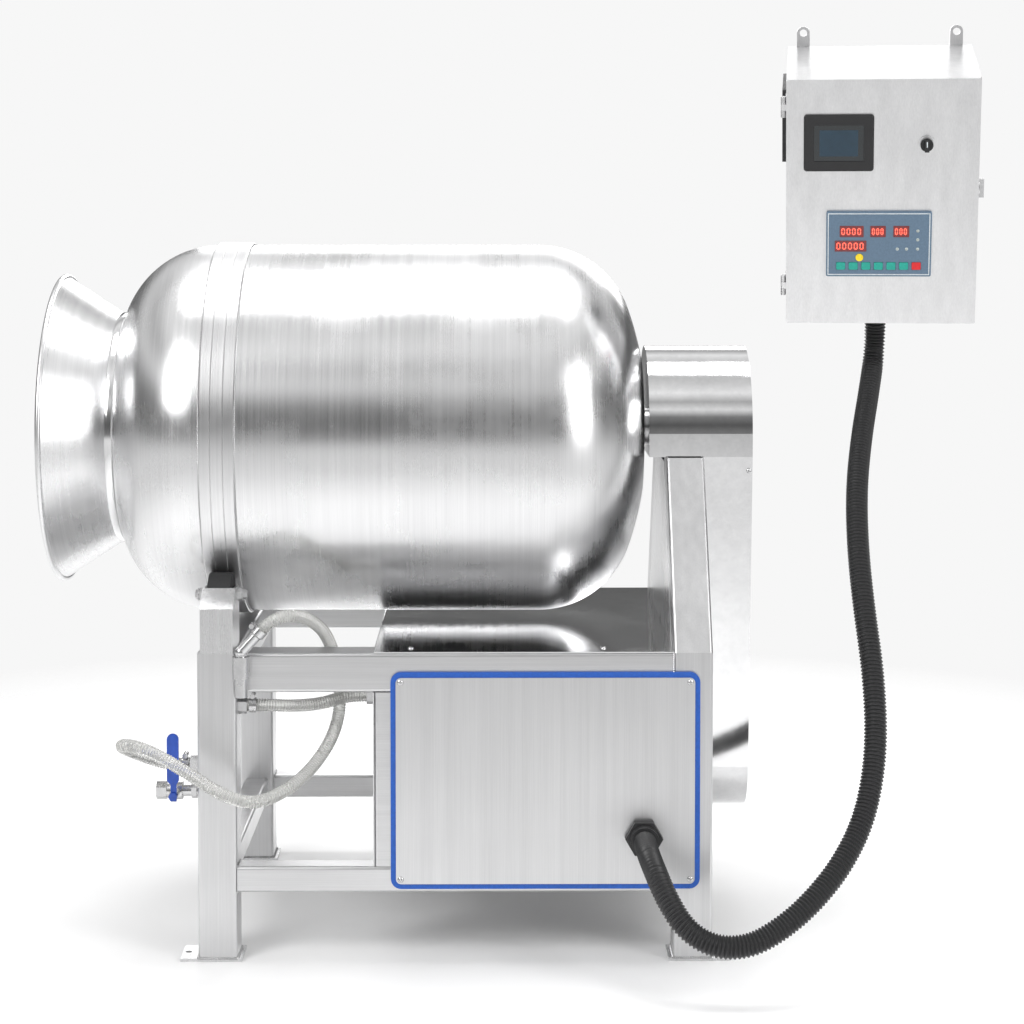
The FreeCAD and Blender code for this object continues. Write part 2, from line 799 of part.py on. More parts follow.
def drum_shaft():
    """Hub plate welded in the rear head, its boss and the stub shaft."""
    outline = [(HUB_X + " - hub_thickness", "0"), (HUB_X + " - hub_thickness", "hub_radius"),
               (HUB_X, "hub_radius"), (HUB_X, "boss_radius"), (HUB_X + " + boss_length", "boss_radius"),
               (HUB_X + " + boss_length", "shaft_radius"),
               (PULLEY_X + " + pulley_width / 2 + shaft_end", "shaft_radius"),
               (PULLEY_X + " + pulley_width / 2 + shaft_end", "0")]
    node("drum_shaft", on_axis(turned("drum_shaft", outline)))


# ---------------------------------------------------------------- lid

LID_BACK = "(%s - gasket_height)" % SEAT_X
LID_RADIUS = "(%s - lid_gap)" % INNER_NECK


def lid():
    """Round lid pressed on its seat, with two grab handles and the vacuum port."""
    face = "(%s - lid_thickness)" % LID_BACK
    disc_outline = [(face, "0"), (face, LID_RADIUS + " - 2"), (face + " + 2", LID_RADIUS),
                    (LID_BACK, LID_RADIUS), (LID_BACK, "0")]
    disc = on_axis(turned("lid_disc", disc_outline))
    parts = [disc]
    for side in (-1, 1):
        y = "%d * lid_handle_span" % side
        legs = []
        for end in (-1, 1):
            z = "drum_axis + %d * lid_handle_span / 2" % end
            legs.append(rod("lid_leg_%d%d" % (side + 2, end + 2), "lid_handle_radius",
                            "lid_handle_reach", face + " - lid_handle_reach", y, z, "x"))
        grip = rod("lid_grip_%d" % (side + 2), "lid_handle_radius",
                   "lid_handle_span + 2 * lid_handle_radius", face + " - lid_handle_reach", y,
                   "drum_axis - lid_handle_span / 2 - lid_handle_radius")
        parts.append(fuse("lid_handle_%d" % (side + 2), *legs, grip))
    nut = hexagon("port_nut", "34", "10", face + " - 10", "0", "drum_axis", "x")
    pipe = rod("port_pipe", "port_radius", "port_length", face + " - port_length", "0", "drum_axis", "x")
    bore = rod("port_bore", "port_radius - 3", "port_length", face + " - port_length - 1", "0",
               "drum_axis", "x")
    parts.append(cut("vacuum_port", fuse("port_outside", nut, pipe), bore))
    node("lid_plate", group("lid_plate", *parts))
    gasket = rectangle(LID_BACK, LID_RADIUS + " - 15", "gasket_height", "15")
    node("lid_gasket", on_axis(turned("lid_gasket", gasket)))


# ---------------------------------------------------------------- belt drive

def grooved(radius, bore, hub):
    """Outline of a two-groove pulley, hollowed on both sides of its web."""
    left = PULLEY_X + " - pulley_width / 2"
    right = PULLEY_X + " + pulley_width / 2"
    rim = "(%s) - groove_depth - pulley_rim" % radius
    web_left = PULLEY_X + " - pulley_web / 2"
    web_right = PULLEY_X + " + pulley_web / 2"
    outline = [(left, bore), (left, radius)]
    for side in (-1, 1):
        middle = PULLEY_X + " + %d * groove_pitch / 2" % side
        outline += [(middle + " - groove_top / 2", radius),
                    (middle + " - groove_bottom / 2", radius + " - groove_depth"),
                    (middle + " + groove_bottom / 2", radius + " - groove_depth"),
                    (middle + " + groove_top / 2", radius)]
    outline += [(right, radius)]
    if hub:
        outline += [(right, rim), (web_right, rim), (web_right, hub), (right, hub), (right, bore),
                    (left, bore)]
        outline[0:2] = [(left, hub), (web_left, hub), (web_left, rim), (left, rim), (left, radius)]
        return outline
    return outline + [(right, bore)]


def pulleys():
    drum_pulley = turned("drum_pulley", grooved("drum_pulley_radius", "shaft_radius",
                                                "(shaft_radius + pulley_hub)"))
    node("drum_pulley", on_axis(drum_pulley))
    wheel = grooved("motor_pulley_radius", "0", None)
    shaft_start = "frame_length / 2 - post_size - motor_shaft_hold"
    left = PULLEY_X + " - pulley_width / 2"
    wheel[0:1] = [(shaft_start, "0"), (shaft_start, "motor_shaft_radius"), (left, "motor_shaft_radius")]
    node("motor_pulley", place(turned("motor_pulley", wheel), "0", "0", "motor_axis"))


def belt_wire(big, small, x):
    """Closed path round both pulleys at the given radii."""
    span = value("drum_axis") - value("motor_axis")
    lift = math.asin((big - small) / span)
    top = Vector(x, 0, value("drum_axis"))
    low = Vector(x, 0, value("motor_axis"))

    def rim(centre, radius, angle):
        return centre.add(Vector(0, radius * math.cos(angle), radius * math.sin(angle)))

    over = Part.Arc(rim(top, big, -lift), rim(top, big, math.pi / 2), rim(top, big, math.pi + lift))
    under = Part.Arc(rim(low, small, math.pi + lift), rim(low, small, -math.pi / 2),
                     rim(low, small, -lift))
    down = Part.LineSegment(rim(top, big, math.pi + lift), rim(low, small, math.pi + lift))
    back = Part.LineSegment(rim(low, small, -lift), rim(top, big, -lift))
    return Part.Wire([over.toShape(), down.toShape(), under.toShape(), back.toShape()])


def belt(side):
    """One V belt, clear of its groove's sides and floor by the belt gap."""
    slope = (value("groove_top") - value("groove_bottom")) / 2 / value("groove_depth")
    low = value("belt_gap")
    high = value("groove_depth") - value("belt_gap")
    big = value("drum_pulley_radius") - value("groove_depth")
    small = value("motor_pulley_radius") - value("groove_depth")
    middle = value(PULLEY_X) + side * value("groove_pitch") / 2
    corners = []
    for height, way in ((low, -1), (low, 1), (high, 1), (high, -1)):
        half = value("groove_bottom") / 2 + slope * height - value("belt_gap")
        corners.append(belt_wire(big + height, small + height, middle + way * half))
    faces = []
    for one, following in zip(corners, corners[1:] + corners[:1]):
        faces += Part.makeRuledSurface(one, following).Faces
    shell = Part.makeShell(faces)
    shell.sewShape()
    solid = Part.makeSolid(Part.makeShell(shell.Faces))
    if solid.Volume < 0:
        solid.reverse()
    part = doc.addObject("Part::Feature", "belt_%d" % (side + 2))
    part.Shape = solid
    return part


def drive_belts():
    node("drive_belts", group("drive_belts", belt(-1), belt(1)))


# ---------------------------------------------------------------- guards

def guard_top():
    """Half-round cover over the bearing and the large pulley, open below."""
    outer = [("guard_radius", "strut_top"), *half_round("0", "drum_axis", "guard_radius"),
             ("-guard_radius", "strut_top")]
    inside = "(guard_radius - sheet)"
    inner = [(inside, "strut_top - 1"), *half_round("0", "drum_axis", inside),
             ("-" + inside, "strut_top - 1")]
    cover = padded("guard_top", "YZ", [outer], GUARD_FRONT, "guard_length")
    pocketed(cover, "YZ", [inner], GUARD_FRONT + " + sheet", "guard_length - 2 * sheet")
    pocketed(cover, "YZ", [("circle", "0", "drum_axis", "guard_hole")], GUARD_FRONT + " - 1",
             "sheet + 2")
    node("guard_top", cover)


def tapered(radius, low_radius, top):
    """Outline with two straight sides that run onto a round bottom."""
    rise = "((%s) - motor_axis)" % top
    span = "sqrt(%s^2 + (%s)^2)" % (rise, radius)
    tilt = "(atan(%s / (%s)) - acos((%s) / %s))" % (rise, radius, low_radius, span)
    side_y = "((%s) * cos(%s))" % (low_radius, tilt)
    side_z = "(motor_axis + (%s) * sin(%s))" % (low_radius, tilt)
    return [(radius, top), ("-(%s)" % radius, top), ("-" + side_y, side_z, low_radius, 1),
            (side_y, side_z)]


def guard_bottom():
    """Tapered cover of the belt, open towards the frame and into the upper cover."""
    start = "frame_length / 2"
    length = GUARD_BACK + " - frame_length / 2"
    cover = padded("guard_bottom", "YZ", [tapered("guard_radius", "low_guard_radius", "strut_top")],
                   start, length)
    inside = tapered("guard_radius - sheet", "low_guard_radius - sheet", "strut_top + 1")
    pocketed(cover, "YZ", [inside], start + " - 1", length + " - sheet + 1")
    node("guard_bottom", cover)


# ---------------------------------------------------------------- cabinet

def deck_plate():
    """Cover sheet on the rails between the cabinet's side and the drive posts."""
    deck = padded("deck_plate", "XY",
                  [rectangle(CABINET_X, "-frame_width / 2",
                             "frame_length / 2 - post_size - " + CABINET_X, "frame_width")],
                  "frame_top", "sheet")
    node("deck_plate", deck)


def cabinet_walls():
    """Side sheets and floor of the cabinet; the drive side has the motor shaft's hole."""
    side_y = "frame_width / 2"
    rail_y = "(frame_width / 2 - post_size)"
    profile = [("-" + side_y, LOW_RAIL_TOP), (side_y, LOW_RAIL_TOP), (side_y, TOP_RAIL_BOTTOM),
               (rail_y, TOP_RAIL_BOTTOM), (rail_y, "frame_top"), ("-" + rail_y, "frame_top"),
               ("-" + rail_y, TOP_RAIL_BOTTOM), ("-" + side_y, TOP_RAIL_BOTTOM)]
    port = ("circle", "-wall_port_across", "wall_port_height", "valve_bore")
    mouth_side = padded("cabinet_mouth_side", "YZ", [profile, port], CABINET_X + " - sheet", "sheet")
    inner = rectangle("-" + rail_y, LOW_RAIL_TOP, "2 * " + rail_y,
                      TOP_RAIL_BOTTOM + " - " + LOW_RAIL_TOP)
    shaft_hole = ("circle", "0", "motor_axis", "guard_hole")
    drive_side = padded("cabinet_drive_side", "YZ", [inner, shaft_hole],
                        "frame_length / 2 - post_size", "sheet")
    floor_y = "(frame_width / 2 - low_rail_size)"
    floor_end = POST_X + " - low_rail_size / 2"
    post_y = "(frame_width / 2 - post_size)"
    floor = padded("cabinet_floor", "XY",
                   [[(CABINET_X, "-" + floor_y), ("frame_length / 2 - post_size", "-" + floor_y),
                     ("frame_length / 2 - post_size", "-" + post_y), (floor_end, "-" + post_y),
                     (floor_end, post_y), ("frame_length / 2 - post_size", post_y),
                     ("frame_length / 2 - post_size", floor_y), (CABINET_X, floor_y)]],
                   LOW_RAIL_TOP + " - sheet", "sheet")
    node("cabinet_walls", group("cabinet_walls", mouth_side, drive_side, floor))


def panel_loop(extra, corner):
    """Rounded outline of the cabinet panel, larger all round by extra."""
    width = "(panel_length + 2 * (%s))" % extra
    height = "(panel_height + 2 * (%s))" % extra
    return rounded(PANEL_X + " - %s / 2" % width, "panel_middle - %s / 2" % height, width, height, corner)


def cabinet_panel():
    hole = ("circle", GLAND_X, GLAND_Z, "gland_collar - 4 + fit_gap")
    plate = padded("cabinet_panel", "XZ", [panel_loop("0", "panel_corner"), hole], PANEL_Y, "sheet")
    node("cabinet_panel", plate)
    ring = [panel_loop("gasket_reveal", "panel_corner + gasket_reveal"),
            panel_loop("gasket_reveal - gasket_width", "panel_corner")]
    node("panel_gasket", padded("panel_gasket", "XZ", ring, "-frame_width / 2 - gasket_thickness",
                                "gasket_thickness"))


def back_panel():
    """Cabinet's back sheet with rows of vent slots."""
    loops = [panel_loop("0", "panel_corner")]
    for column in range(2):
        for row in range(6):
            x = PANEL_X + " + %d - 55" % (column * 150 - 75)
            z = "panel_middle + %d" % (row * 18 - 20)
            loops.append(rounded(x, z, "110", "6", "2.9"))
    node("back_panel", padded("back_panel", "XZ", loops, "frame_width / 2", "sheet"))


def screw(name, x, y, z, along):
    """Domed screw head: a short cylinder under a flatter, narrower one."""
    base = rod(name + "_base", "screw_radius", "screw_height / 2", x, y, z, along)
    shift = {"x": (x + " + screw_height / 2", y, z), "y": (x, y + " + screw_height / 2", z),
             "z": (x, y, z + " + screw_height / 2")}[along]
    crown = rod(name + "_crown", "screw_radius * 0.7", "screw_height / 2", *shift, along)
    return fuse(name, base, crown)


def panel_screws():
    screws = []
    for side_x in (-1, 1):
        x = PANEL_X + " + %d * (panel_length / 2 - screw_inset)" % side_x
        for side_z in (-1, 1):
            z = "panel_middle + %d * (panel_height / 2 - screw_inset)" % side_z
            label = "panel_screw_%d%d" % (side_x + 2, side_z + 2)
            screws.append(screw(label + "_back", x, "frame_width / 2 + sheet", z, "y"))
            screws.append(mirrored(label + "_front", screw(label, x, "-" + PANEL_Y, z, "y")))
    for side_y in (-1, 1):
        for along_x in (0, 1):
            x = CABINET_X + " + 55 + %d * 296" % along_x
            screws.append(screw("deck_screw_%d%d" % (side_y + 2, along_x), x,
                                "%d * %s" % (side_y, POST_Y), "frame_top + sheet", "z"))
    node("panel_screws", group("panel_screws", *screws))


def gearmotor():
    """Worm gearbox on feet with its finned motor lying across the cabinet."""
    middle_x = "(frame_length / 2 - post_size - 65)"
    gearbox = block("gear_case", "90", "116", "130", middle_x + " - 45", "-58", "motor_axis - 70")
    boss = rod("gear_boss", "34", "20", middle_x + " + 45", "0", "motor_axis", "x")
    back_cap = rod("gear_back_cap", "34", "8", middle_x + " - 53", "0", "motor_axis", "x")
    feet = block("gear_feet", "110", "130", "motor_axis - 70 - " + LOW_RAIL_TOP,
                 middle_x + " - 55", "-65", LOW_RAIL_TOP)
    flange = rod("motor_flange", "60", "12", middle_x, "58", "motor_axis + 12", "y")
    stator = rod("motor_stator", "50", "120", middle_x, "70", "motor_axis + 12", "y")
    cowl = rod("motor_cowl", "57", "42", middle_x, "190", "motor_axis + 12", "y")
    terminal = block("motor_terminal_box", "70", "70", "32", middle_x + " - 35", "90",
                     "motor_axis + 56")
    fins = []
    for turn in range(0, 180, 20):
        fin = doc.addObject("Part::Box", "motor_fin_%d" % turn)
        fin.Length = 112
        fin.Width = 118
        fin.Height = 2
        spin = Rotation(Vector(0, 1, 0), turn)
        corner = spin.multVec(Vector(-56, 0, -1))
        fin.Placement = Placement(corner, spin)
        fins.append(place(fin, middle_x + " + %.3f" % corner.x, "72",
                          "motor_axis + 12 + %.3f" % corner.z))
    bore = rod("gear_bore", "motor_shaft_radius + fit_gap", "60", "frame_length / 2 - post_size - 22",
               "0", "motor_axis", "x")
    solid = fuse("gearmotor_casting", gearbox, boss, back_cap, feet, flange, stator, cowl, terminal,
                 *fins)
    node("gearmotor", cut("gearmotor", solid, bore))


def vacuum_pump():
    """Rotary vane pump: casing on feet, motor, oil glass, exhaust filter and inlet pipe."""
    x = CABINET_X + " + 70"
    base = block("pump_feet", "150", "120", "14", x, "-230", LOW_RAIL_TOP)
    casing = block("pump_casing", "120", "110", "120", x + " + 10", "-225", LOW_RAIL_TOP + " + 14")
    motor = rod("pump_motor", "52", "170", x + " + 70", "-115", LOW_RAIL_TOP + " + 74", "y")
    motor_foot = block("pump_motor_foot", "60", "60", "30", x + " + 40", "-20", LOW_RAIL_TOP)
    exhaust = rod("pump_exhaust", "26", "70", x + " + 100", "-180", LOW_RAIL_TOP + " + 134")
    glass = rod("pump_oil_glass", "11", "8", x + " + 70", "-233", LOW_RAIL_TOP + " + 40", "y")
    inlet_z = LOW_RAIL_TOP + " + 134"
    riser = rod("pump_riser", "11", "wall_port_height - (%s) + 12" % inlet_z, x + " + 40",
                "-wall_port_across + 2", inlet_z)
    run = rod("pump_inlet_run", "8", "110", CABINET_X, "-wall_port_across", "wall_port_height", "x")
    node("vacuum_pump", fuse("vacuum_pump", base, casing, motor, motor_foot, exhaust, glass, riser, run))


# ---------------------------------------------------------------- cords

def rounded_wire(points, label):
    """Straight runs joined by tangent arcs, each as large as its two runs allow."""
    start = points[0]
    edges = []
    radii = []
    for before, corner, after in zip(points, points[1:], points[2:]):
        way_in = corner.sub(before)
        way_out = after.sub(corner)
        shorter = min(way_in.Length, way_out.Length)
        turn = way_in.getAngle(way_out)
        setback = 0.45 * shorter
        radii.append(setback / math.tan(turn / 2))
        first = corner.sub(way_in.normalize().multiply(setback))
        last = corner.add(way_out.normalize().multiply(setback))
        towards = first.add(last).multiply(0.5).sub(corner).normalize()
        reach = radii[-1] / math.cos(turn / 2) - radii[-1]
        middle = corner.add(towards.multiply(reach))
        edges.append(Part.makeLine(start, first))
        edges.append(Part.Arc(first, middle, last).toShape())
        start = last
    edges.append(Part.makeLine(start, points[-1]))
    wire = Part.Wire(edges)
    print("%s: radii %s, length %.0f" % (label, " ".join("%.0f" % radius for radius in radii),
                                         wire.Length))
    return wire


def cord(label, points, radius):
    """Plain round cord along a rounded route."""
    wire = rounded_wire(points, label)
    way = points[1].sub(points[0])
    section = Part.Wire(Part.makeCircle(radius, points[0], way))
    tube = wire.makePipeShell([section], True, False)
    expected = math.pi * radius ** 2 * wire.Length
    print("%s: volume over section times length %.4f" % (label, tube.Volume / expected))
    part = doc.addObject("Part::Feature", label)
    part.Shape = tube
    return node(label, part)


BOX_TURN = Rotation(Vector(0, 0, 1), SIZES["box_turn"]) * Rotation(Vector(1, 0, 0), SIZES["box_lean"])


def in_box(x, y, z):
    """A place given in the control box's own frame, as a place in the part's frame."""
    return Vector(value("box_x"), value("box_y"), value("box_z")).add(BOX_TURN.multVec(Vector(x, y, z)))


def conduit():
    """Corrugated conduit that hangs from the panel gland and climbs to the control box."""
    gland_end = Vector(value(GLAND_X), value(PANEL_Y) - value("gland_length"), value(GLAND_Z))
    drop = -value("box_height") - value("gland_length")
    box_end = in_box(value("box_gland_across"), -value("box_depth") / 2, drop)
    box_lead = in_box(value("box_gland_across"), -value("box_depth") / 2, drop - 60)
    lead = gland_end.sub(Vector(0, 46, 0))
    route = [lead, Vector(296, -438, 177), Vector(311, -472, 145),
             Vector(336, -498, 108), Vector(377, -511, 86), Vector(425, -511, 86),
             Vector(470, -501, 106), Vector(520, -481, 140), Vector(572, -448, 190),
             Vector(612, -410, 254), Vector(634, -366, 342), Vector(637, -316, 442),
             Vector(630, -262, 538), Vector(629, -208, 620), Vector(636, -145, 704),
             Vector(655, -74, 782), Vector(679, -1, 852)]
    cord("conduit", [gland_end] + route + [box_lead, box_end], value("conduit_radius"))


CONNECTOR_X = "(-frame_length / 2 + post_size + 9)"
CONNECTOR_Y = "(-frame_width / 2 - 13.3)"
ELBOW_ANGLE = 48


def elbow_end():
    """Where the connector's elbow hands over to its hose, and the way it points."""
    way = Vector(math.cos(math.radians(ELBOW_ANGLE)), 0, math.sin(math.radians(ELBOW_ANGLE)))
    base = Vector(value(CONNECTOR_X), value(CONNECTOR_Y), value("frame_top") + 5)
    return base.add(Vector(way).multiply(34)), way


def vacuum_hose():
    """Clear hose from the parked lid connector, round the rail and the post, to the trap."""
    start, way = elbow_end()
    lead = start.add(way.multiply(34))
    end = Vector(value("-frame_length / 2 - collar_length"), value("-" + POST_Y), value("trap_port"))
    route = [lead, Vector(-240, -302, 534), Vector(-207, -258, 508),
             Vector(-191, -222, 462), Vector(-184, -203, 415), Vector(-182, -208, 368),
             Vector(-192, -240, 330), Vector(-217, -290, 297), Vector(-252, -342, 273),
             Vector(-300, -384, 262), Vector(-345, -399, 280), Vector(-390, -402, 311),
             Vector(-434, -403, 339), Vector(-470, -398, 353), Vector(-499, -373, 350),
             Vector(-502, -318, 332), Vector(-474, -283, 310), end.sub(Vector(34, 0, 0))]
    cord("vacuum_hose", [start] + route + [end], value("hose_radius"))


def pump_hose():
    """Short clear hose from the trap to the cabinet wall."""
    start = Vector(value("-frame_length / 2 + post_size + collar_length"), value("-" + POST_Y),
                   value("pump_port"))
    end = Vector(value(CABINET_X + " - sheet - collar_length"), -value("wall_port_across"),
                 value("wall_port_height"))
    route = [start.add(Vector(30, 0, 0)), Vector(-250, -268, 386), Vector(-208, -247, 385),
             end.sub(Vector(30, 0, 0))]
    cord("pump_hose", [start] + route + [end], value("hose_radius"))


# ---------------------------------------------------------------- hose fittings

def hose_collars():
    """Hexagon hose collars on the trap post and on the cabinet wall."""
    left = hexagon("trap_collar", "collar_flat", "collar_length", "-frame_length / 2 - collar_length",
                   "-" + POST_Y, "trap_port", "x")
    right = hexagon("pump_collar", "collar_flat", "collar_length", "-frame_length / 2 + post_size",
                    "-" + POST_Y, "pump_port", "x")
    wall = hexagon("wall_collar", "collar_flat", "collar_length",
                   CABINET_X + " - sheet - collar_length", "-wall_port_across", "wall_port_height", "x")
    node("hose_collars", group("hose_collars", left, right, wall))


def clamp(name, base, way, up):
    """Worm-drive band round a hose end, with its screw housing on the outside."""
    inner = value("hose_radius") + 0.05
    outer = inner + value("clamp_thickness")
    width = value("clamp_width")
    band = Part.makeCylinder(outer, width, base, way).cut(Part.makeCylinder(inner, width, base, way))
    side = way.cross(up)
    side.normalize()
    middle = base.add(Vector(way).multiply(width / 2)).add(Vector(up).multiply(outer + 3))
    screw_start = middle.sub(Vector(side).multiply(9))
    housing = Part.makeCylinder(4, 18, screw_start, side)
    part = doc.addObject("Part::Feature", name)
    part.Shape = band.fuse(housing.cut(Part.makeCylinder(outer, width, base, way))).removeSplitter()
    return part


def hose_clamps():
    start, way = elbow_end()
    left = Vector(value("-frame_length / 2 - collar_length"), value("-" + POST_Y), value("trap_port"))
    right = Vector(value("-frame_length / 2 + post_size + collar_length"), value("-" + POST_Y),
                   value("pump_port"))
    upright = Vector(way.z, 0, -way.x).multiply(-1)
    clamps = [clamp("connector_clamp", start.add(Vector(way).multiply(2)), way, upright),
              clamp("trap_clamp", left.add(Vector(-13, 0, 0)), Vector(1, 0, 0), Vector(0, 0, 1)),
              clamp("pump_clamp", right.add(Vector(3, 0, 0)), Vector(1, 0, 0), Vector(0, 0, 1))]
    node("hose_clamps", group("hose_clamps", *clamps))


def hose_connector():
    """Push-on lid connector: sleeve, tail tube and elbow to the hose."""
    top = value("frame_top")
    x = value(CONNECTOR_X)
    y = value(CONNECTOR_Y)
    tail = Part.makeCylinder(10, 30, Vector(x, y, top - 64))
    sleeve = Part.makeCylinder(13, 34, Vector(x, y, top - 36))
    neck = Part.makeCylinder(9, 10, Vector(x, y, top - 4))
    knee = Part.makeSphere(9.6, Vector(x, y, top + 5))
    end, way = elbow_end()
    arm = Part.makeCylinder(9, 34, Vector(x, y, top + 5), way)
    bore = Part.makeCylinder(7, 50, Vector(x, y, top - 65))
    body = tail.multiFuse([sleeve, neck, knee, arm]).removeSplitter().cut(bore)
    part = doc.addObject("Part::Feature", "hose_connector")
    part.Shape = body
    node("hose_connector", part)


def conduit_glands():
    """Hexagon glands with round collars: one through the panel, one under the box."""
    start = "-" + PANEL_Y
    nut = hexagon("panel_gland_nut", "gland_flat", "gland_length / 2", GLAND_X, start, GLAND_Z, "y")
    collar = rod("panel_gland_collar", "gland_collar", "gland_length", GLAND_X, start, GLAND_Z, "y")
    thread = rod("panel_gland_thread", "gland_collar - 4", "sheet + 14", GLAND_X,
                 start + " - sheet - 14", GLAND_Z, "y")
    locknut = hexagon("panel_gland_locknut", "gland_flat", "7", GLAND_X, start + " - sheet - 9.5",
                      GLAND_Z, "y")
    panel_gland = mirrored("panel_gland", fuse("panel_gland_outside", nut, collar, thread, locknut))
    drop = "-box_height - gland_length"
    middle = BOX_FRONT + " / 2"
    box_nut = hexagon("box_gland_nut", "gland_flat", "gland_length / 2", "box_gland_across", middle,
                      "-box_height - gland_length / 2")
    box_collar = rod("box_gland_collar", "gland_collar", "gland_length", "box_gland_across", middle, drop)
    box_thread = rod("box_gland_thread", "gland_collar - 4", "box_sheet + 12", "box_gland_across",
                     middle, "-box_height")
    box_locknut = hexagon("box_gland_locknut", "gland_flat", "6", "box_gland_across", middle,
                          "-box_height + box_sheet")
    box_gland = hung(fuse("box_gland", box_nut, box_collar, box_thread, box_locknut))
    node("conduit_glands", group("conduit_glands", panel_gland, box_gland))


def drain_valve():
    """Ball valve body on its nipple, with the stem boss towards the panel side."""
    start = "-frame_length / 2"
    y = "-" + POST_Y
    z = "valve_height"
    nipple = rod("valve_nipple", "9", "30", start + " - 30", y, z, "x")
    collar = hexagon("valve_collar", "22", "8", start + " - 12", y, z, "x")
    ball = rod("valve_ball_case", "14", "20", start + " - 46", y, z, "x")
    end = hexagon("valve_end", "24", "16", start + " - valve_reach", y, z, "x")
    middle = rod("valve_middle", "11", "22", start + " - 54", y, z, "x")
    boss_end = "-%s - valve_stem_reach" % POST_Y
    boss = rod("valve_boss", "stem_radius + 3.5", "valve_stem_reach + 1", start + " - 36", boss_end, z,
               "y")
    bore = rod("valve_outlet", "valve_bore", "14", start + " - valve_reach - 1", y, z, "x")
    stem_bore = rod("valve_stem_bore", "stem_radius + fit_gap", "15", start + " - 36",
                    boss_end + " - 1", z, "y")
    body = fuse("valve_casting", nipple, collar, ball, end, middle, boss)
    node("drain_valve", cut("drain_valve", body, bore, stem_bore))


def valve_lever():
    """Flat lever with its sleeve, stem and nut."""
    x = "(-frame_length / 2 - 36)"
    face = "-%s - valve_stem_reach - 0.3" % POST_Y
    neck = "lever_neck / 2 + 1"
    wide = "lever_width / 2"
    shoulder = "valve_height + 24"
    tip = "valve_height + lever_length - lever_width / 2"
    profile = [(x + " + " + neck, "valve_height - 8"), (x + " + " + neck, shoulder + " - 6"),
               (x + " + " + wide, shoulder), *half_round(x, tip, wide),
               (x + " - " + wide, shoulder),
               (x + " - " + neck, shoulder + " - 6"), (x + " - " + neck, "valve_height - 8")]
    blade = padded("lever_blade", "XZ", [profile], face + " - lever_thickness", "lever_thickness")
    stem = rod("lever_stem", "stem_radius", "12", x, face, "valve_height", "y")
    nut = hexagon("lever_nut", "12", "4", x, face + " - lever_thickness - 4", "valve_height", "y")
    node("valve_lever", fuse("valve_lever", blade, stem, nut))


# ---------------------------------------------------------------- control box

def hung(part):
    """Put a piece that is drawn in the control box's frame where the box hangs."""
    part.Placement = Placement(Vector(), BOX_TURN)
    return place(part, "box_x", "box_y", "box_z")


def box_case():
    """Open-fronted case with an inward front flange, and the two hanging lugs behind it."""
    half = "box_width / 2"
    depth = "(box_depth - door_depth - door_gap)"
    outer = block("case_outer", "box_width", depth, "box_height", "-" + half, "-" + depth,
                  "-box_height")
    inner = block("case_inner", "box_width - 2 * box_sheet", depth + " - 2 * box_sheet",
                  "box_height - 2 * box_sheet", "-" + half + " + box_sheet",
                  "-" + depth + " + box_sheet", "-box_height + box_sheet")
    mouth = block("case_mouth", "box_width - 2 * flange_width", "3 * box_sheet",
                  "box_height - 2 * flange_width", "-" + half + " + flange_width",
                  "-" + depth + " - box_sheet", "-box_height + flange_width")
    gland_hole = rod("case_gland_hole", "gland_collar - 4 + fit_gap", "3 * box_sheet",
                     "box_gland_across", BOX_FRONT + " / 2", "-box_height - box_sheet")
    vent_hole = block("case_vent_hole", "3 * box_sheet", "vent_size - 20", "vent_size - 20",
                      "-" + half + " - box_sheet", "-vent_back - vent_size / 2 + 10",
                      "-vent_drop - vent_size / 2 + 10")
    lock_hole = rod("case_lock_hole", "latch_radius - 4 + fit_gap", "3 * box_sheet",
                    half + " - 2 * box_sheet", SEAM + " + 24", "-latch_drop", "x")
    case = hung(cut("case_shell", outer, inner, mouth, gland_hole, vent_hole, lock_hole))
    lugs = []
    for side in (-1, 1):
        middle = "%d * lug_spacing / 2" % side
        radius = "lug_width / 2"
        profile = [(middle + " - " + radius, "-lug_overlap"), (middle + " + " + radius, "-lug_overlap"),
                   *half_round(middle, "lug_rise - " + radius, radius)]
        hole = ("circle", middle, "lug_rise - " + radius, "lug_hole")
        lugs.append(hung(padded("lug_%d" % (side + 2), "XZ", [profile, hole], "0", "lug_thickness")))
    node("box_case", group("box_case", case, *lugs))


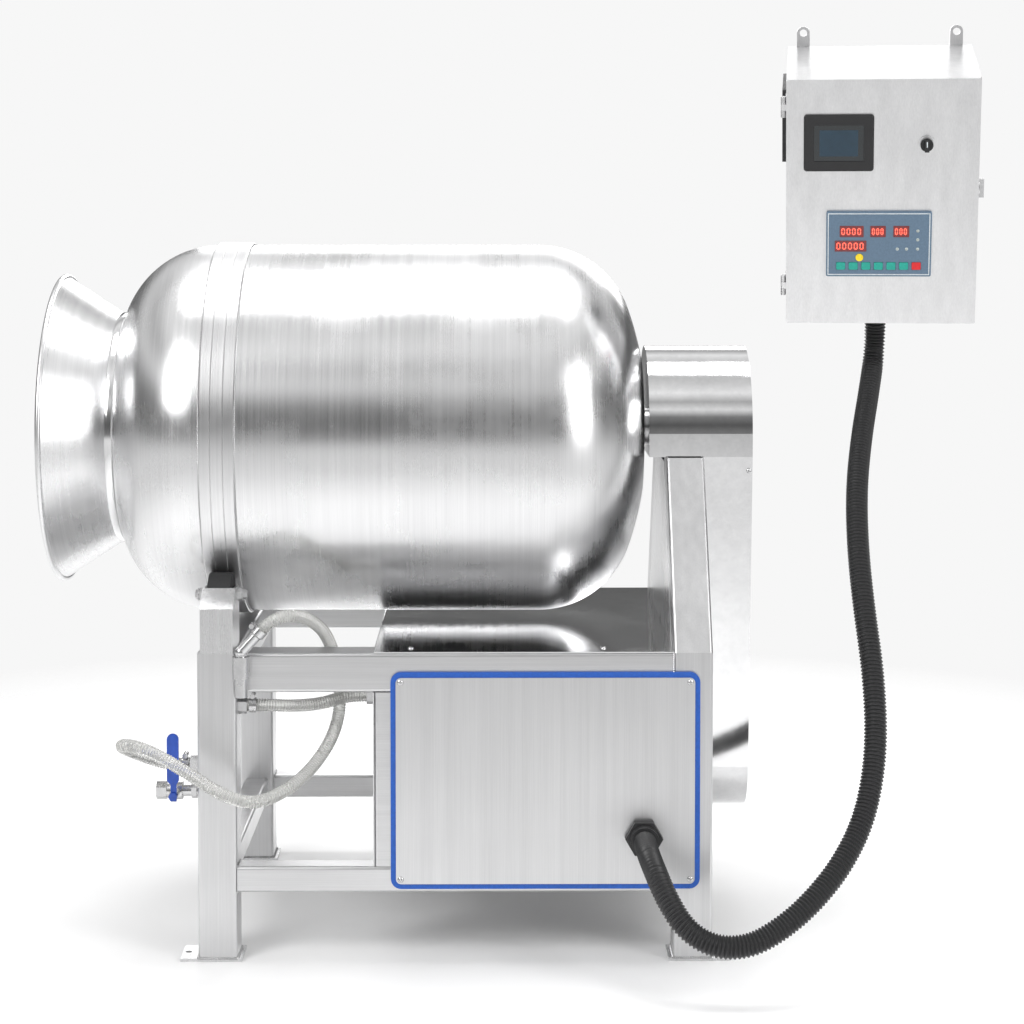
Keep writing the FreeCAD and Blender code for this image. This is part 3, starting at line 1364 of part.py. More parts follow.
def box_door():
    """Shallow pan door with its hinge knuckles, and the ring under the speed knob."""
    half = "box_width / 2"
    outline = rounded("-" + half, "-box_height", "box_width", "box_height", "door_corner")
    pan = padded("door_pan", "XZ", [outline], BOX_FRONT, "door_depth")
    thin = "box_sheet"
    hollow = rounded("-" + half + " + " + thin, "-box_height + " + thin, "box_width - 2 * " + thin,
                     "box_height - 2 * " + thin, "door_corner - " + thin)
    pocketed(pan, "XZ", [hollow], BOX_FRONT + " + " + thin, "door_depth")
    spindle = ("circle", "-%s + knob_across" % half, "-knob_drop", "4 + fit_gap")
    pocketed(pan, "XZ", [spindle], BOX_FRONT + " - 1", thin + " + 2")
    axis_x = "-" + half + " - hinge_offset"
    solids = [pan]
    bores = []
    for number, drop in enumerate(("hinge_first", "hinge_second")):
        low = "-(%s) - knuckle_height / 2 + 0.3" % drop
        tall = "knuckle_height - 0.6"
        knuckle = rod("door_knuckle_%d" % number, "knuckle_size", tall, axis_x, SEAM, low)
        leaf = block("door_leaf_%d" % number, "1", "door_depth - 1 - " + thin, tall, "-" + half + " - 1",
                     SEAM + " - door_depth + 1", low)
        web = block("door_web_%d" % number, "hinge_offset", "1.2", tall, axis_x,
                    SEAM + " - knuckle_size", low)
        bores.append(rod("door_bore_%d" % number, "pin_radius + fit_gap", "knuckle_height", axis_x, SEAM,
                         "-(%s) - knuckle_height / 2" % drop))
        solids += [knuckle, leaf, web]
    door = hung(cut("door_with_knuckles", fuse("door_solids", *solids), *bores))
    ring_outline = ("circle", "-%s + knob_across" % half, "-knob_drop", "knob_ring")
    ring_hole = ("circle", "-%s + knob_across" % half, "-knob_drop", "4 + fit_gap")
    ring = hung(padded("knob_seat_ring", "XZ", [ring_outline, ring_hole], BOX_FRONT + " - 3", "3"))
    node("box_door", group("box_door", door, ring))


def box_hinges():
    """Fixed knuckle pairs with their pins, on leaves along the case's left side."""
    half = "box_width / 2"
    axis_x = "-" + half + " - hinge_offset"
    hinges = []
    for number, drop in enumerate(("hinge_first", "hinge_second")):
        tall = "knuckle_height"
        leaf = block("case_leaf_%d" % number, "1", "20", "3 * " + tall, "-" + half + " - 1",
                     SEAM + " + knuckle_size + 0.8", "-(%s) - 1.5 * %s" % (drop, tall))
        solids = [leaf]
        for step in (-1, 1):
            low = "-(%s) + (%d - 0.5) * %s" % (drop, step, tall)
            solids.append(rod("case_knuckle_%d%d" % (number, step + 2), "knuckle_size", tall, axis_x,
                              SEAM, low))
            solids.append(block("case_web_%d%d" % (number, step + 2), "hinge_offset", "2.2", tall,
                                axis_x, SEAM + " + knuckle_size - 1.2", low))
        solids.append(rod("hinge_pin_%d" % number, "pin_radius", "3 * " + tall, axis_x, SEAM,
                          "-(%s) - 1.5 * %s" % (drop, tall)))
        hinges.append(hung(fuse("hinge_%d" % number, *solids)))
    node("box_hinges", group("box_hinges", *hinges))


def box_seal():
    """Rubber ring stuck inside the door's pan, facing the case's flange."""
    half = "box_width / 2"
    inset = "box_sheet + 1"
    inner = inset + " + seal_width"
    outer = rectangle("-%s + %s" % (half, inset), "-box_height + " + inset,
                      "box_width - 2 * (%s)" % inset, "box_height - 2 * (%s)" % inset)
    hole = rectangle("-%s + %s" % (half, inner), "-box_height + " + inner,
                     "box_width - 2 * (%s)" % inner, "box_height - 2 * (%s)" % inner)
    seal = padded("box_seal", "XZ", [outer, hole], BOX_FRONT + " + box_sheet",
                  "door_depth + door_gap - box_sheet - 0.3")
    node("box_seal", hung(seal))


def box_vent():
    """Square vent cover on the case's left side, with a row of slots."""
    half = "box_width / 2"
    frame_loop = rounded("-vent_back - vent_size / 2", "-vent_drop - vent_size / 2", "vent_size",
                         "vent_size", "5")
    loops = [frame_loop]
    for row in range(8):
        loops.append(rectangle("-vent_back - vent_size / 2 + 14",
                               "-vent_drop - vent_size / 2 + 16 + %d * (vent_size - 26) / 8" % row,
                               "vent_size - 28", "5"))
    node("box_vent", hung(padded("box_vent", "YZ", loops, "-%s - vent_thickness" % half,
                                 "vent_thickness")))


def box_electrics():
    """Mounting plate on its studs with the speed inverter, contactors and terminal rail."""
    plate_y = "-box_sheet - 14"
    plate = block("mounting_plate", "box_width - 50", "2", "box_height - 50",
                  "-box_width / 2 + 25", plate_y, "-box_height + 25")
    studs = []
    for side_x in (-1, 1):
        for side_z in (-1, 1):
            studs.append(rod("plate_stud_%d%d" % (side_x + 2, side_z + 2), "4", "12.5",
                             "%d * (box_width / 2 - 35)" % side_x, plate_y + " + 1.5",
                             "-box_height / 2 + %d * (box_height / 2 - 35)" % side_z, "y"))
    parts = [fuse("plate_on_studs", plate, *studs),
             block("inverter", "90", "120", "150", "-box_width / 2 + 45", plate_y + " - 120", "-210"),
             block("supply", "90", "90", "110", "22", plate_y + " - 90", "-290"),
             block("terminal_row", "200", "38", "40", "-100", plate_y + " - 38", "-350")]
    for number in range(2):
        parts.append(block("contactor_%d" % number, "42", "75", "72", "20 + %d * 48" % number,
                           plate_y + " - 75", "-150"))
    node("box_electrics", hung(group("box_electrics", *parts)))


def display_unit():
    """Framed display with a stepped window."""
    x = "-box_width / 2 + screen_across - screen_width / 2"
    z = "-screen_drop - screen_height / 2"
    frame = padded("display_unit", "XZ", [rounded(x, z, "screen_width", "screen_height", "5")],
                   BOX_FRONT + " - screen_thickness", "screen_thickness")
    doc.recompute()
    solid = frame.Tip
    front = value(BOX_FRONT + " - screen_thickness")
    bevel = frame.newObject("PartDesign::Chamfer", "display_bevel")
    face = faces_where(solid.Shape, lambda normal, middle: abs(middle.y - front) < 0.1)
    bevel.Base = (solid, face)
    bevel.Size = 2
    glass_x = "-box_width / 2 + screen_across - glass_width / 2"
    pocketed(frame, "XZ", [rectangle(glass_x, "-screen_drop - glass_height / 2", "glass_width",
                                     "glass_height")], BOX_FRONT + " - screen_thickness - 1", "3")
    node("display_unit", hung(frame))


KEY_Z = "(-keypad_drop - key_row_drop)"
KEYPAD_X = "(-box_width / 2 + keypad_across)"


def keypad():
    """Operating panel with a pocket for each key."""
    clear = "key_clearance"
    face = padded("keypad", "XZ",
                  [rounded(KEYPAD_X + " - keypad_width / 2", "-keypad_drop - keypad_height / 2",
                           "keypad_width", "keypad_height", "3")],
                  BOX_FRONT + " - keypad_thickness", "keypad_thickness")
    pockets = []
    for number in range(7):
        middle = KEYPAD_X + " + %d * key_pitch" % (number - 3)
        pockets.append(rectangle(middle + " - key_width / 2 - " + clear,
                                 KEY_Z + " - key_height / 2 - " + clear, "key_width + 2 * " + clear,
                                 "key_height + 2 * " + clear))
    pockets.append(("circle", KEYPAD_X + " + round_key_across", "-keypad_drop - round_key_drop",
                    "round_key_radius + " + clear))
    pocketed(face, "XZ", pockets, BOX_FRONT + " - keypad_thickness - 1", "keypad_thickness")
    node("keypad", hung(face))


def keys():
    """Seven flat keys in a row and one round key, each free to travel inwards."""
    start = BOX_FRONT + " - keypad_thickness - 1"
    thick = "keypad_thickness - key_travel - 0.4"
    for number in range(7):
        middle = KEYPAD_X + " + %d * key_pitch" % (number - 3)
        key = padded("key_%d" % (number + 1), "XZ",
                     [rounded(middle + " - key_width / 2", KEY_Z + " - key_height / 2", "key_width",
                              "key_height", "2")], start, thick)
        node("key_%d" % (number + 1), hung(key))
    middle = ("circle", KEYPAD_X + " + round_key_across", "-keypad_drop - round_key_drop",
              "round_key_radius")
    node("round_key", hung(padded("round_key", "XZ", [middle], start, thick)))


def speed_knob():
    """Knob with a raised grip bar, on a spindle through the door."""
    x = "-box_width / 2 + knob_across"
    z = "-knob_drop"
    base_y = BOX_FRONT + " - 3.3"
    skirt = rod("knob_skirt", "knob_radius", "knob_height * 0.4", x, base_y + " - knob_height * 0.4", z,
                "y")
    bar = block("knob_bar", "knob_radius * 0.7", "knob_height", "2 * knob_radius - 2",
                x + " - knob_radius * 0.35", base_y + " - knob_height", z + " - knob_radius + 1")
    spindle = rod("knob_spindle", "4", "14", x, base_y, z, "y")
    node("speed_knob", hung(fuse("speed_knob", skirt, bar, spindle)))


def box_latch():
    """Quarter-turn lock in the case's right side: wing outside, cam inside."""
    y = SEAM + " + 24"
    side = "box_width / 2"
    barrel = rod("latch_barrel", "latch_radius - 4", "14", side + " - 12", y, "-latch_drop", "x")
    collar = rod("latch_collar", "latch_radius", "3", side + " + 0.3", y, "-latch_drop", "x")
    wing = block("latch_wing", "9", "6", "2 * latch_radius + 8", side + " + 1", y + " - 3",
                 "-latch_drop - latch_radius - 4")
    cam = block("latch_cam", "3", "12", "26", side + " - 14", y + " - 6", "-latch_drop - 6")
    node("box_latch", hung(fuse("box_latch", barrel, collar, wing, cam)))


# ---------------------------------------------------------------- build

def build():
    for make in (frame_posts, foot_plates, top_rails, lower_frame, leaning_struts, bearing_support,
                 shaft_bearing, roller_brackets, rollers, drum_shell, riding_ring, front_head,
                 rear_head, neck_collar, mouth_funnel, drum_baffles, drum_shaft, lid, pulleys,
                 drive_belts, guard_top, guard_bottom, deck_plate, cabinet_walls, cabinet_panel,
                 back_panel, panel_screws, gearmotor, vacuum_pump, conduit, vacuum_hose, pump_hose,
                 hose_collars, hose_clamps, hose_connector, conduit_glands, drain_valve, valve_lever,
                 box_case, box_door, box_hinges, box_seal, box_vent, box_electrics, display_unit,
                 keypad, keys, speed_knob, box_latch):
        make()
    doc.recompute()


def check():
    """Stop if any object failed or any sub-part has no valid shape."""
    faults = [item.Name for item in doc.Objects
              if any(word in item.State for word in ("Invalid", "Error"))]
    for label, part in NODES.items():
        if part.Shape.isNull() or not part.Shape.isValid() or not part.Shape.Solids:
            faults.append(label)
    if faults:
        raise RuntimeError("failed: " + ", ".join(faults))


def write():
    os.makedirs("parts", exist_ok=True)
    for label, part in sorted(NODES.items()):
        part.Shape.exportStep("parts/%s.step" % label)
    print("%d sub-parts, %d solids" % (len(NODES), sum(len(part.Shape.Solids)
                                                       for part in NODES.values())))


build()
check()
write()
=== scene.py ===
# %% [markdown]
# # A vacuum tumbler for meat
# The part's solids come in as a fixed frame, and this lesson dresses them. Each step
# says what the real piece is, how it could be made, and why this way was chosen.

# %% Load the frame
import math
import bmesh
import bpy
from mathutils import Euler, Matrix, Vector


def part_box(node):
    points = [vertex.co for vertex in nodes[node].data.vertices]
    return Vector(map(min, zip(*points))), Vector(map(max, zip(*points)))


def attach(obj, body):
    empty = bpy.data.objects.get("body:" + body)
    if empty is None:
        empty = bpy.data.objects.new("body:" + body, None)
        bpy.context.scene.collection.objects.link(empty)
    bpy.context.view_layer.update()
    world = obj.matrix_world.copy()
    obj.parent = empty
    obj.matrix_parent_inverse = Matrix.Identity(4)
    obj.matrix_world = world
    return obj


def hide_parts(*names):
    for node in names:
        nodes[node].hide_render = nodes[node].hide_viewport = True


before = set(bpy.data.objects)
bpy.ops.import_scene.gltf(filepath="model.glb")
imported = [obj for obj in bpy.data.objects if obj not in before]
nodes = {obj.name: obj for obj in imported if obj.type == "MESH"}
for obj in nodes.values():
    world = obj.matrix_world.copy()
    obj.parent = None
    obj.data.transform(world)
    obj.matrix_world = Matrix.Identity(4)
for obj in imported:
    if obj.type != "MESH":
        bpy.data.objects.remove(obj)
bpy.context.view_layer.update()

scene = bpy.context.scene

# %% [markdown]
# ## Camera, floor and light
# A long lens from a few metres away keeps the frame's posts nearly parallel. The machine
# stands on a white sheet under large soft lamps. The sheet fades into a pale surround,
# and the metal finds broad light and dark bands to mirror.

# %% Camera
CAMERA_PLACE = (0.0646, -3.711, 1.1203)
LOOK_DOWN, LOOK_ASIDE = 2.4, -0.37
LENS, FRAME_SHIFT = 79.1, -0.184

camera = bpy.data.objects.new("camera", bpy.data.cameras.new("camera"))
scene.collection.objects.link(camera)
scene.camera = camera
camera.location = CAMERA_PLACE
camera.rotation_euler = Euler((math.radians(90 - LOOK_DOWN), 0, math.radians(LOOK_ASIDE)))
camera.data.lens = LENS
camera.data.sensor_width = 36
camera.data.shift_y = FRAME_SHIFT
camera.data.clip_start = 0.05
scene.view_settings.view_transform = "Standard"
print("camera at", tuple(camera.location))


# %% Node helpers
def link(tree, source, target):
    """Join two sockets."""
    tree.links.new(source, target)


def add(tree, kind, **settings):
    """One node with its settings; a setting that is a socket's name gives its value."""
    made = tree.nodes.new(kind)
    for key, number in settings.items():
        if hasattr(made, key):
            setattr(made, key, number)
        else:
            made.inputs[key.replace("_", " ").title()].default_value = number
    return made


def maths(tree, operation, first, second=None, third=None):
    """A Math node on sockets or numbers; gives its result socket."""
    made = tree.nodes.new("ShaderNodeMath")
    made.operation = operation
    for socket, item in zip(made.inputs, (first, second, third)):
        if item is None:
            continue
        if isinstance(item, (int, float)):
            socket.default_value = item
        else:
            link(tree, item, socket)
    return made.outputs[0]


def ramp(tree, factor, *stops):
    """Colour ramp with the given (position, grey or colour) stops."""
    made = tree.nodes.new("ShaderNodeValToRGB")
    link(tree, factor, made.inputs[0])
    marks = made.color_ramp.elements
    while len(marks) < len(stops):
        marks.new(0.5)
    for mark, (position, tone) in zip(marks, stops):
        mark.position = position
        mark.color = (tone, tone, tone, 1) if isinstance(tone, (int, float)) else (*tone, 1)
    return made.outputs[0]


# %% Surround
# grey levels from straight down (0) through level (0.5) to straight up (1)
SKY_BANDS = ((0.0, 0.62), (0.30, 0.80), (0.44, 0.95), (0.47, 0.20), (0.56, 0.10), (0.66, 0.22),
             (0.74, 0.85), (0.82, 0.45), (0.90, 0.95), (1.0, 0.55))
BACKDROP = (0.93, 0.93, 0.93, 1)


def surround():
    """Pale to the eye; softboxes and dark gaps to the metal."""
    world = bpy.data.worlds.new("studio")
    scene.world = world
    world.use_nodes = True
    tree = world.node_tree
    tree.nodes.clear()
    way = add(tree, "ShaderNodeTexCoord").outputs["Generated"]
    split = add(tree, "ShaderNodeSeparateXYZ")
    link(tree, way, split.inputs[0])
    height = maths(tree, "MULTIPLY_ADD", split.outputs["Z"], 0.5, 0.5)
    bands = ramp(tree, height, *SKY_BANDS)
    seen = add(tree, "ShaderNodeLightPath").outputs["Is Camera Ray"]
    mix = add(tree, "ShaderNodeMix", data_type="RGBA")
    link(tree, seen, mix.inputs["Factor"])
    link(tree, bands, mix.inputs["A"])
    mix.inputs["B"].default_value = BACKDROP
    glow = add(tree, "ShaderNodeBackground")
    link(tree, mix.outputs["Result"], glow.inputs["Color"])
    out = add(tree, "ShaderNodeOutputWorld")
    link(tree, glow.outputs[0], out.inputs[0])


LAMP_AIM = Vector((0, 0, 0.7))


def lamp(name, place, size, power):
    """Soft rectangular lamp that points at the machine's middle."""
    light = bpy.data.lights.new(name, "AREA")
    light.shape = "RECTANGLE"
    light.size, light.size_y = size
    light.energy = power
    holder = bpy.data.objects.new(name, light)
    holder.location = place
    holder.rotation_euler = (LAMP_AIM - Vector(place)).to_track_quat("-Z", "Y").to_euler()
    scene.collection.objects.link(holder)


surround()
lamp("key", (-2.4, -3.0, 3.0), (1.6, 2.2), 95)
lamp("fill", (2.8, -2.6, 1.9), (1.2, 2.4), 55)
lamp("top", (0, 0.2, 3.6), (3.0, 1.2), 75)
lamp("rim", (0.4, 3.4, 2.2), (3.0, 1.4), 60)


# %% Floor
FLOOR_RADIUS, FLOOR_SIDES = 3.2, 64
FADE_START, FADE_WIDTH = 1.1, 1.2


def floor_finish():
    """White sheet that fades out into the pale surround."""
    made = bpy.data.materials.new("floor_sheet")
    made.use_nodes = True
    tree = made.node_tree
    sheet = tree.nodes["Principled BSDF"]
    sheet.inputs["Roughness"].default_value = 0.6
    spot = add(tree, "ShaderNodeTexCoord").outputs["Object"]
    grain = add(tree, "ShaderNodeTexNoise", scale=3.0)
    link(tree, spot, grain.inputs["Vector"])
    link(tree, ramp(tree, grain.outputs[0], (0.3, 0.86), (0.7, 0.88)), sheet.inputs["Base Color"])
    length = add(tree, "ShaderNodeVectorMath", operation="LENGTH")
    link(tree, spot, length.inputs[0])
    fade = maths(tree, "SUBTRACT", length.outputs["Value"], FADE_START)
    fade = maths(tree, "DIVIDE", fade, FADE_WIDTH)
    link(tree, ramp(tree, fade, (0.0, 1.0), (1.0, 0.0)), sheet.inputs["Alpha"])
    return made


def floor():
    """Round sheet under the machine; it is part of the set, not of the machine."""
    mesh = bpy.data.meshes.new("floor")
    angles = [math.tau * step / FLOOR_SIDES for step in range(FLOOR_SIDES)]
    edge = [(FLOOR_RADIUS * math.cos(angle), FLOOR_RADIUS * math.sin(angle), 0) for angle in angles]
    mesh.from_pydata(edge, [], [list(range(FLOOR_SIDES))])
    sheet = bpy.data.objects.new("floor", mesh)
    sheet.data.materials.append(floor_finish())
    scene.collection.objects.link(sheet)


floor()

# %% [markdown]
# ## Finishes
# Nearly everything here is stainless steel, and what tells its pieces apart is how each
# was finished: the drum was brushed round and round, tubes along their length, sheets up
# and down, and the guard and deck are mirror sheet. One group makes brush lines of any
# direction, and a second one adds the faint smears that handling leaves.


# %% Shared shader groups
AXIS_HEIGHT = 0.794


def group(name, inputs, outputs):
    """Shader node group with named sockets; gives (tree, inputs' node, outputs' node)."""
    tree = bpy.data.node_groups.new(name, "ShaderNodeTree")
    for label, kind, start in inputs:
        socket = tree.interface.new_socket(label, in_out="INPUT", socket_type="NodeSocket" + kind)
        socket.default_value = start
    for label, kind in outputs:
        tree.interface.new_socket(label, in_out="OUTPUT", socket_type="NodeSocket" + kind)
    return tree, tree.nodes.new("NodeGroupInput"), tree.nodes.new("NodeGroupOutput")


def brush_group():
    """Lines of a brushing belt: long, thin and uneven. Stretch says how thin along X, Y and Z."""
    tree, given, out = group("brush_lines", (("Stretch", "Vector", (1, 1, 1)),
                                             ("Strength", "Float", 0.5)),
                             (("Height", "Float"), ("Shade", "Float")))
    spot = add(tree, "ShaderNodeTexCoord").outputs["Object"]
    centred = add(tree, "ShaderNodeVectorMath", operation="SUBTRACT")
    link(tree, spot, centred.inputs[0])
    centred.inputs[1].default_value = (0, 0, AXIS_HEIGHT)
    stretched = add(tree, "ShaderNodeVectorMath", operation="MULTIPLY")
    link(tree, centred.outputs[0], stretched.inputs[0])
    link(tree, given.outputs["Stretch"], stretched.inputs[1])
    fine = add(tree, "ShaderNodeTexNoise", scale=1.0, detail=4.0, roughness=0.7)
    broad = add(tree, "ShaderNodeTexNoise", scale=0.12, detail=2.0)
    for texture in (fine, broad):
        link(tree, stretched.outputs[0], texture.inputs["Vector"])
    both = maths(tree, "MULTIPLY_ADD", broad.outputs[0], 0.7, fine.outputs[0])
    link(tree, maths(tree, "MULTIPLY", both, given.outputs["Strength"]), out.inputs["Height"])
    link(tree, maths(tree, "MULTIPLY", both, 0.6), out.inputs["Shade"])
    return tree


def smear_group():
    """Soft patches where hands, water and polish have dulled the surface."""
    tree, given, out = group("smears", (("Size", "Float", 4.0), ("Amount", "Float", 0.1)),
                             (("Dulling", "Float"),))
    spot = add(tree, "ShaderNodeTexCoord").outputs["Object"]
    cloud = add(tree, "ShaderNodeTexNoise", detail=5.0, roughness=0.6)
    link(tree, spot, cloud.inputs["Vector"])
    link(tree, given.outputs["Size"], cloud.inputs["Scale"])
    patch = ramp(tree, cloud.outputs[0], (0.42, 0.0), (0.7, 1.0))
    link(tree, maths(tree, "MULTIPLY", patch, given.outputs["Amount"]), out.inputs["Dulling"])
    return tree


BRUSH = brush_group()
SMEAR = smear_group()


# %% Metals
def placed(tree, shared, **values):
    """A shared group set down in a material's tree."""
    made = tree.nodes.new("ShaderNodeGroup")
    made.node_tree = shared
    for key, number in values.items():
        made.inputs[key].default_value = number
    return made


def steel(name, tone, rough, stretch, strength=0.6, relief=0.00005, smear=0.12, spread=0.12):
    """Stainless steel brushed along one direction."""
    made = bpy.data.materials.new(name)
    made.use_nodes = True
    tree = made.node_tree
    skin = tree.nodes["Principled BSDF"]
    skin.inputs["Metallic"].default_value = 1
    lines = placed(tree, BRUSH, Stretch=stretch, Strength=strength)
    dull = placed(tree, SMEAR, Size=5.0, Amount=smear)
    low, high = tone * 0.86, min(tone * 1.1, 0.95)
    link(tree, ramp(tree, lines.outputs["Shade"], (0.25, (low, low, low * 1.01)),
                    (0.8, (high, high, high * 1.005))), skin.inputs["Base Color"])
    grain = maths(tree, "MULTIPLY_ADD", lines.outputs["Shade"], spread, rough - spread / 2)
    link(tree, maths(tree, "ADD", grain, dull.outputs[0]), skin.inputs["Roughness"])
    bump = add(tree, "ShaderNodeBump", strength=0.6, distance=relief)
    link(tree, lines.outputs["Height"], bump.inputs["Height"])
    link(tree, bump.outputs[0], skin.inputs["Normal"])
    return made


def plain(name, tone, rough, metallic=0.0, grain=300.0, relief=0.0001, contrast=0.12, smear=0.1,
          coat=0.0):
    """Paint, plastic, rubber or cast metal with a fine grain."""
    made = bpy.data.materials.new(name)
    made.use_nodes = True
    tree = made.node_tree
    skin = tree.nodes["Principled BSDF"]
    skin.inputs["Metallic"].default_value = metallic
    skin.inputs["Coat Weight"].default_value = coat
    spot = add(tree, "ShaderNodeTexCoord").outputs["Object"]
    speck = add(tree, "ShaderNodeTexNoise", scale=grain, detail=3.0)
    link(tree, spot, speck.inputs["Vector"])
    dark = tuple(max(c * (1 - contrast), 0) for c in tone)
    pale = tuple(min(c * (1 + contrast), 1) for c in tone)
    link(tree, ramp(tree, speck.outputs[0], (0.3, dark), (0.7, pale)), skin.inputs["Base Color"])
    dull = placed(tree, SMEAR, Size=9.0, Amount=smear)
    link(tree, maths(tree, "ADD", dull.outputs[0], rough), skin.inputs["Roughness"])
    bump = add(tree, "ShaderNodeBump", strength=0.5, distance=relief)
    link(tree, speck.outputs[0], bump.inputs["Height"])
    link(tree, bump.outputs[0], skin.inputs["Normal"])
    return made


CLEAR_BEND, CLEAR_SHARE = 1.45, 0.75


def clear(name, tone, rough):
    """Clear plastic with faint clouding."""
    made = plain(name, tone, rough, grain=80, relief=0.00003, contrast=0.05)
    skin = made.node_tree.nodes["Principled BSDF"]
    skin.inputs["Transmission Weight"].default_value = CLEAR_SHARE
    skin.inputs["IOR"].default_value = CLEAR_BEND
    return made


def glowing(name, tone, power):
    """Plastic lit from behind."""
    made = plain(name, tone, 0.35, grain=60)
    skin = made.node_tree.nodes["Principled BSDF"]
    skin.inputs["Emission Color"].default_value = (*tone, 1)
    skin.inputs["Emission Strength"].default_value = power
    return made


# how thin the brush lines are along X, Y and Z
ROUND = (900, 5, 5)
ALONG = (6, 700, 700)
UPRIGHT = (700, 700, 6)
FINISH = {
    "drum": steel("drum_brushed_round", 0.74, 0.24, ROUND, relief=0.00006, spread=0.16),
    "ring": steel("ring_turned", 0.72, 0.28, ROUND, relief=0.00008, spread=0.1),
    "rails": steel("tube_brushed_along", 0.66, 0.30, ALONG),
    "posts": steel("tube_brushed_upright", 0.66, 0.30, UPRIGHT),
    "sheet": steel("sheet_brushed_upright", 0.70, 0.26, UPRIGHT, smear=0.06),
    "panel": steel("panel_brushed_upright", 0.66, 0.30, (600, 600, 5), strength=0.5, smear=0.10),
    "mirror": steel("sheet_polished", 0.82, 0.07, (60, 60, 60), strength=0.15, relief=0.00002,
                    smear=0.05, spread=0.03),
    "bright": steel("turned_bright", 0.80, 0.12, ROUND, strength=0.3, spread=0.05),
    "box": steel("box_brushed_upright", 0.76, 0.30, (500, 500, 9), strength=0.35, smear=0.04),
    "weld": steel("weld_metal", 0.50, 0.34, (300, 300, 300), relief=0.0002),
    "fitting": steel("plated_fitting", 0.62, 0.22, (200, 200, 200), strength=0.3),
    "cast": plain("cast_grey", (0.17, 0.18, 0.19), 0.5, metallic=0.3, grain=220, relief=0.0003),
    "pump": plain("pump_paint", (0.06, 0.12, 0.22), 0.35, grain=260, relief=0.00015, coat=0.3),
    "rubber": plain("black_rubber", (0.018, 0.018, 0.019), 0.62, grain=420),
    "white_rubber": plain("white_rubber", (0.72, 0.72, 0.69), 0.55),
    "gasket": plain("blue_gasket", (0.012, 0.09, 0.42), 0.5, grain=240),
    "conduit": plain("conduit_plastic", (0.020, 0.020, 0.021), 0.42, grain=500, contrast=0.3),
    "gland": plain("gland_plastic", (0.022, 0.022, 0.023), 0.35, grain=300),
    "hose": clear("hose_clear", (0.80, 0.80, 0.78), 0.22),
    "lever": plain("lever_sleeve", (0.006, 0.055, 0.36), 0.3, grain=160, coat=0.4),
    "black": plain("moulded_black", (0.012, 0.012, 0.013), 0.38, grain=500, relief=0.00008),
    "glass": plain("screen_glass", (0.004, 0.008, 0.010), 0.06, grain=40, relief=0.0, smear=0.02,
                   coat=1.0),
    "grey": plain("moulded_grey", (0.25, 0.26, 0.27), 0.45),
    "keypad": plain("keypad_film", (0.105, 0.165, 0.235), 0.42, grain=350, contrast=0.08),
    "pale": plain("printed_pale", (0.62, 0.66, 0.68), 0.45),
    "window": plain("display_window", (0.16, 0.008, 0.010), 0.12, grain=90, coat=0.8),
    "segment": glowing("lit_segment", (1.0, 0.10, 0.06), 2.2),
    "teal": plain("teal_key", (0.012, 0.33, 0.26), 0.4),
    "yellow": plain("yellow_key", (0.85, 0.62, 0.02), 0.4),
    "red": plain("red_key", (0.62, 0.015, 0.02), 0.4),
    "led": plain("led_lens", (0.45, 0.50, 0.48), 0.15, coat=0.6),
    "picture": glowing("display_picture", (0.012, 0.030, 0.048), 0.25),
}
print("finishes:", len(FINISH))

# %% [markdown]
# ## Hoses and conduit
# A corrugated conduit is blown plastic in rings, and the clear hoses have a stiff spiral
# inside. Drawing each rib by hand is hopeless. One node tree sweeps a circle along a
# smooth line and swells it in waves, so the ribs follow every bend at an even pitch.


# %% Node tree for ribbed tubes
def geometry(name, inputs):
    """Empty geometry tree with named inputs; gives (tree, given, out, identifiers)."""
    tree = bpy.data.node_groups.new(name, "GeometryNodeTree")
    tree.interface.new_socket("Geometry", in_out="INPUT", socket_type="NodeSocketGeometry")
    keys = {}
    for label, kind in inputs:
        socket = tree.interface.new_socket(label, in_out="INPUT", socket_type="NodeSocket" + kind)
        keys[label] = socket.identifier
    tree.interface.new_socket("Geometry", in_out="OUTPUT", socket_type="NodeSocketGeometry")
    return tree, tree.nodes.new("NodeGroupInput"), tree.nodes.new("NodeGroupOutput"), keys


def finished(tree, shape, given, out):
    """End a tree: instances made real, then the finish."""
    real = add(tree, "GeometryNodeRealizeInstances")
    link(tree, shape, real.inputs[0])
    coat = add(tree, "GeometryNodeSetMaterial")
    link(tree, real.outputs[0], coat.inputs[0])
    link(tree, given.outputs["Finish"], coat.inputs["Material"])
    link(tree, coat.outputs[0], out.inputs[0])


STEPS_PER_RIB = 5


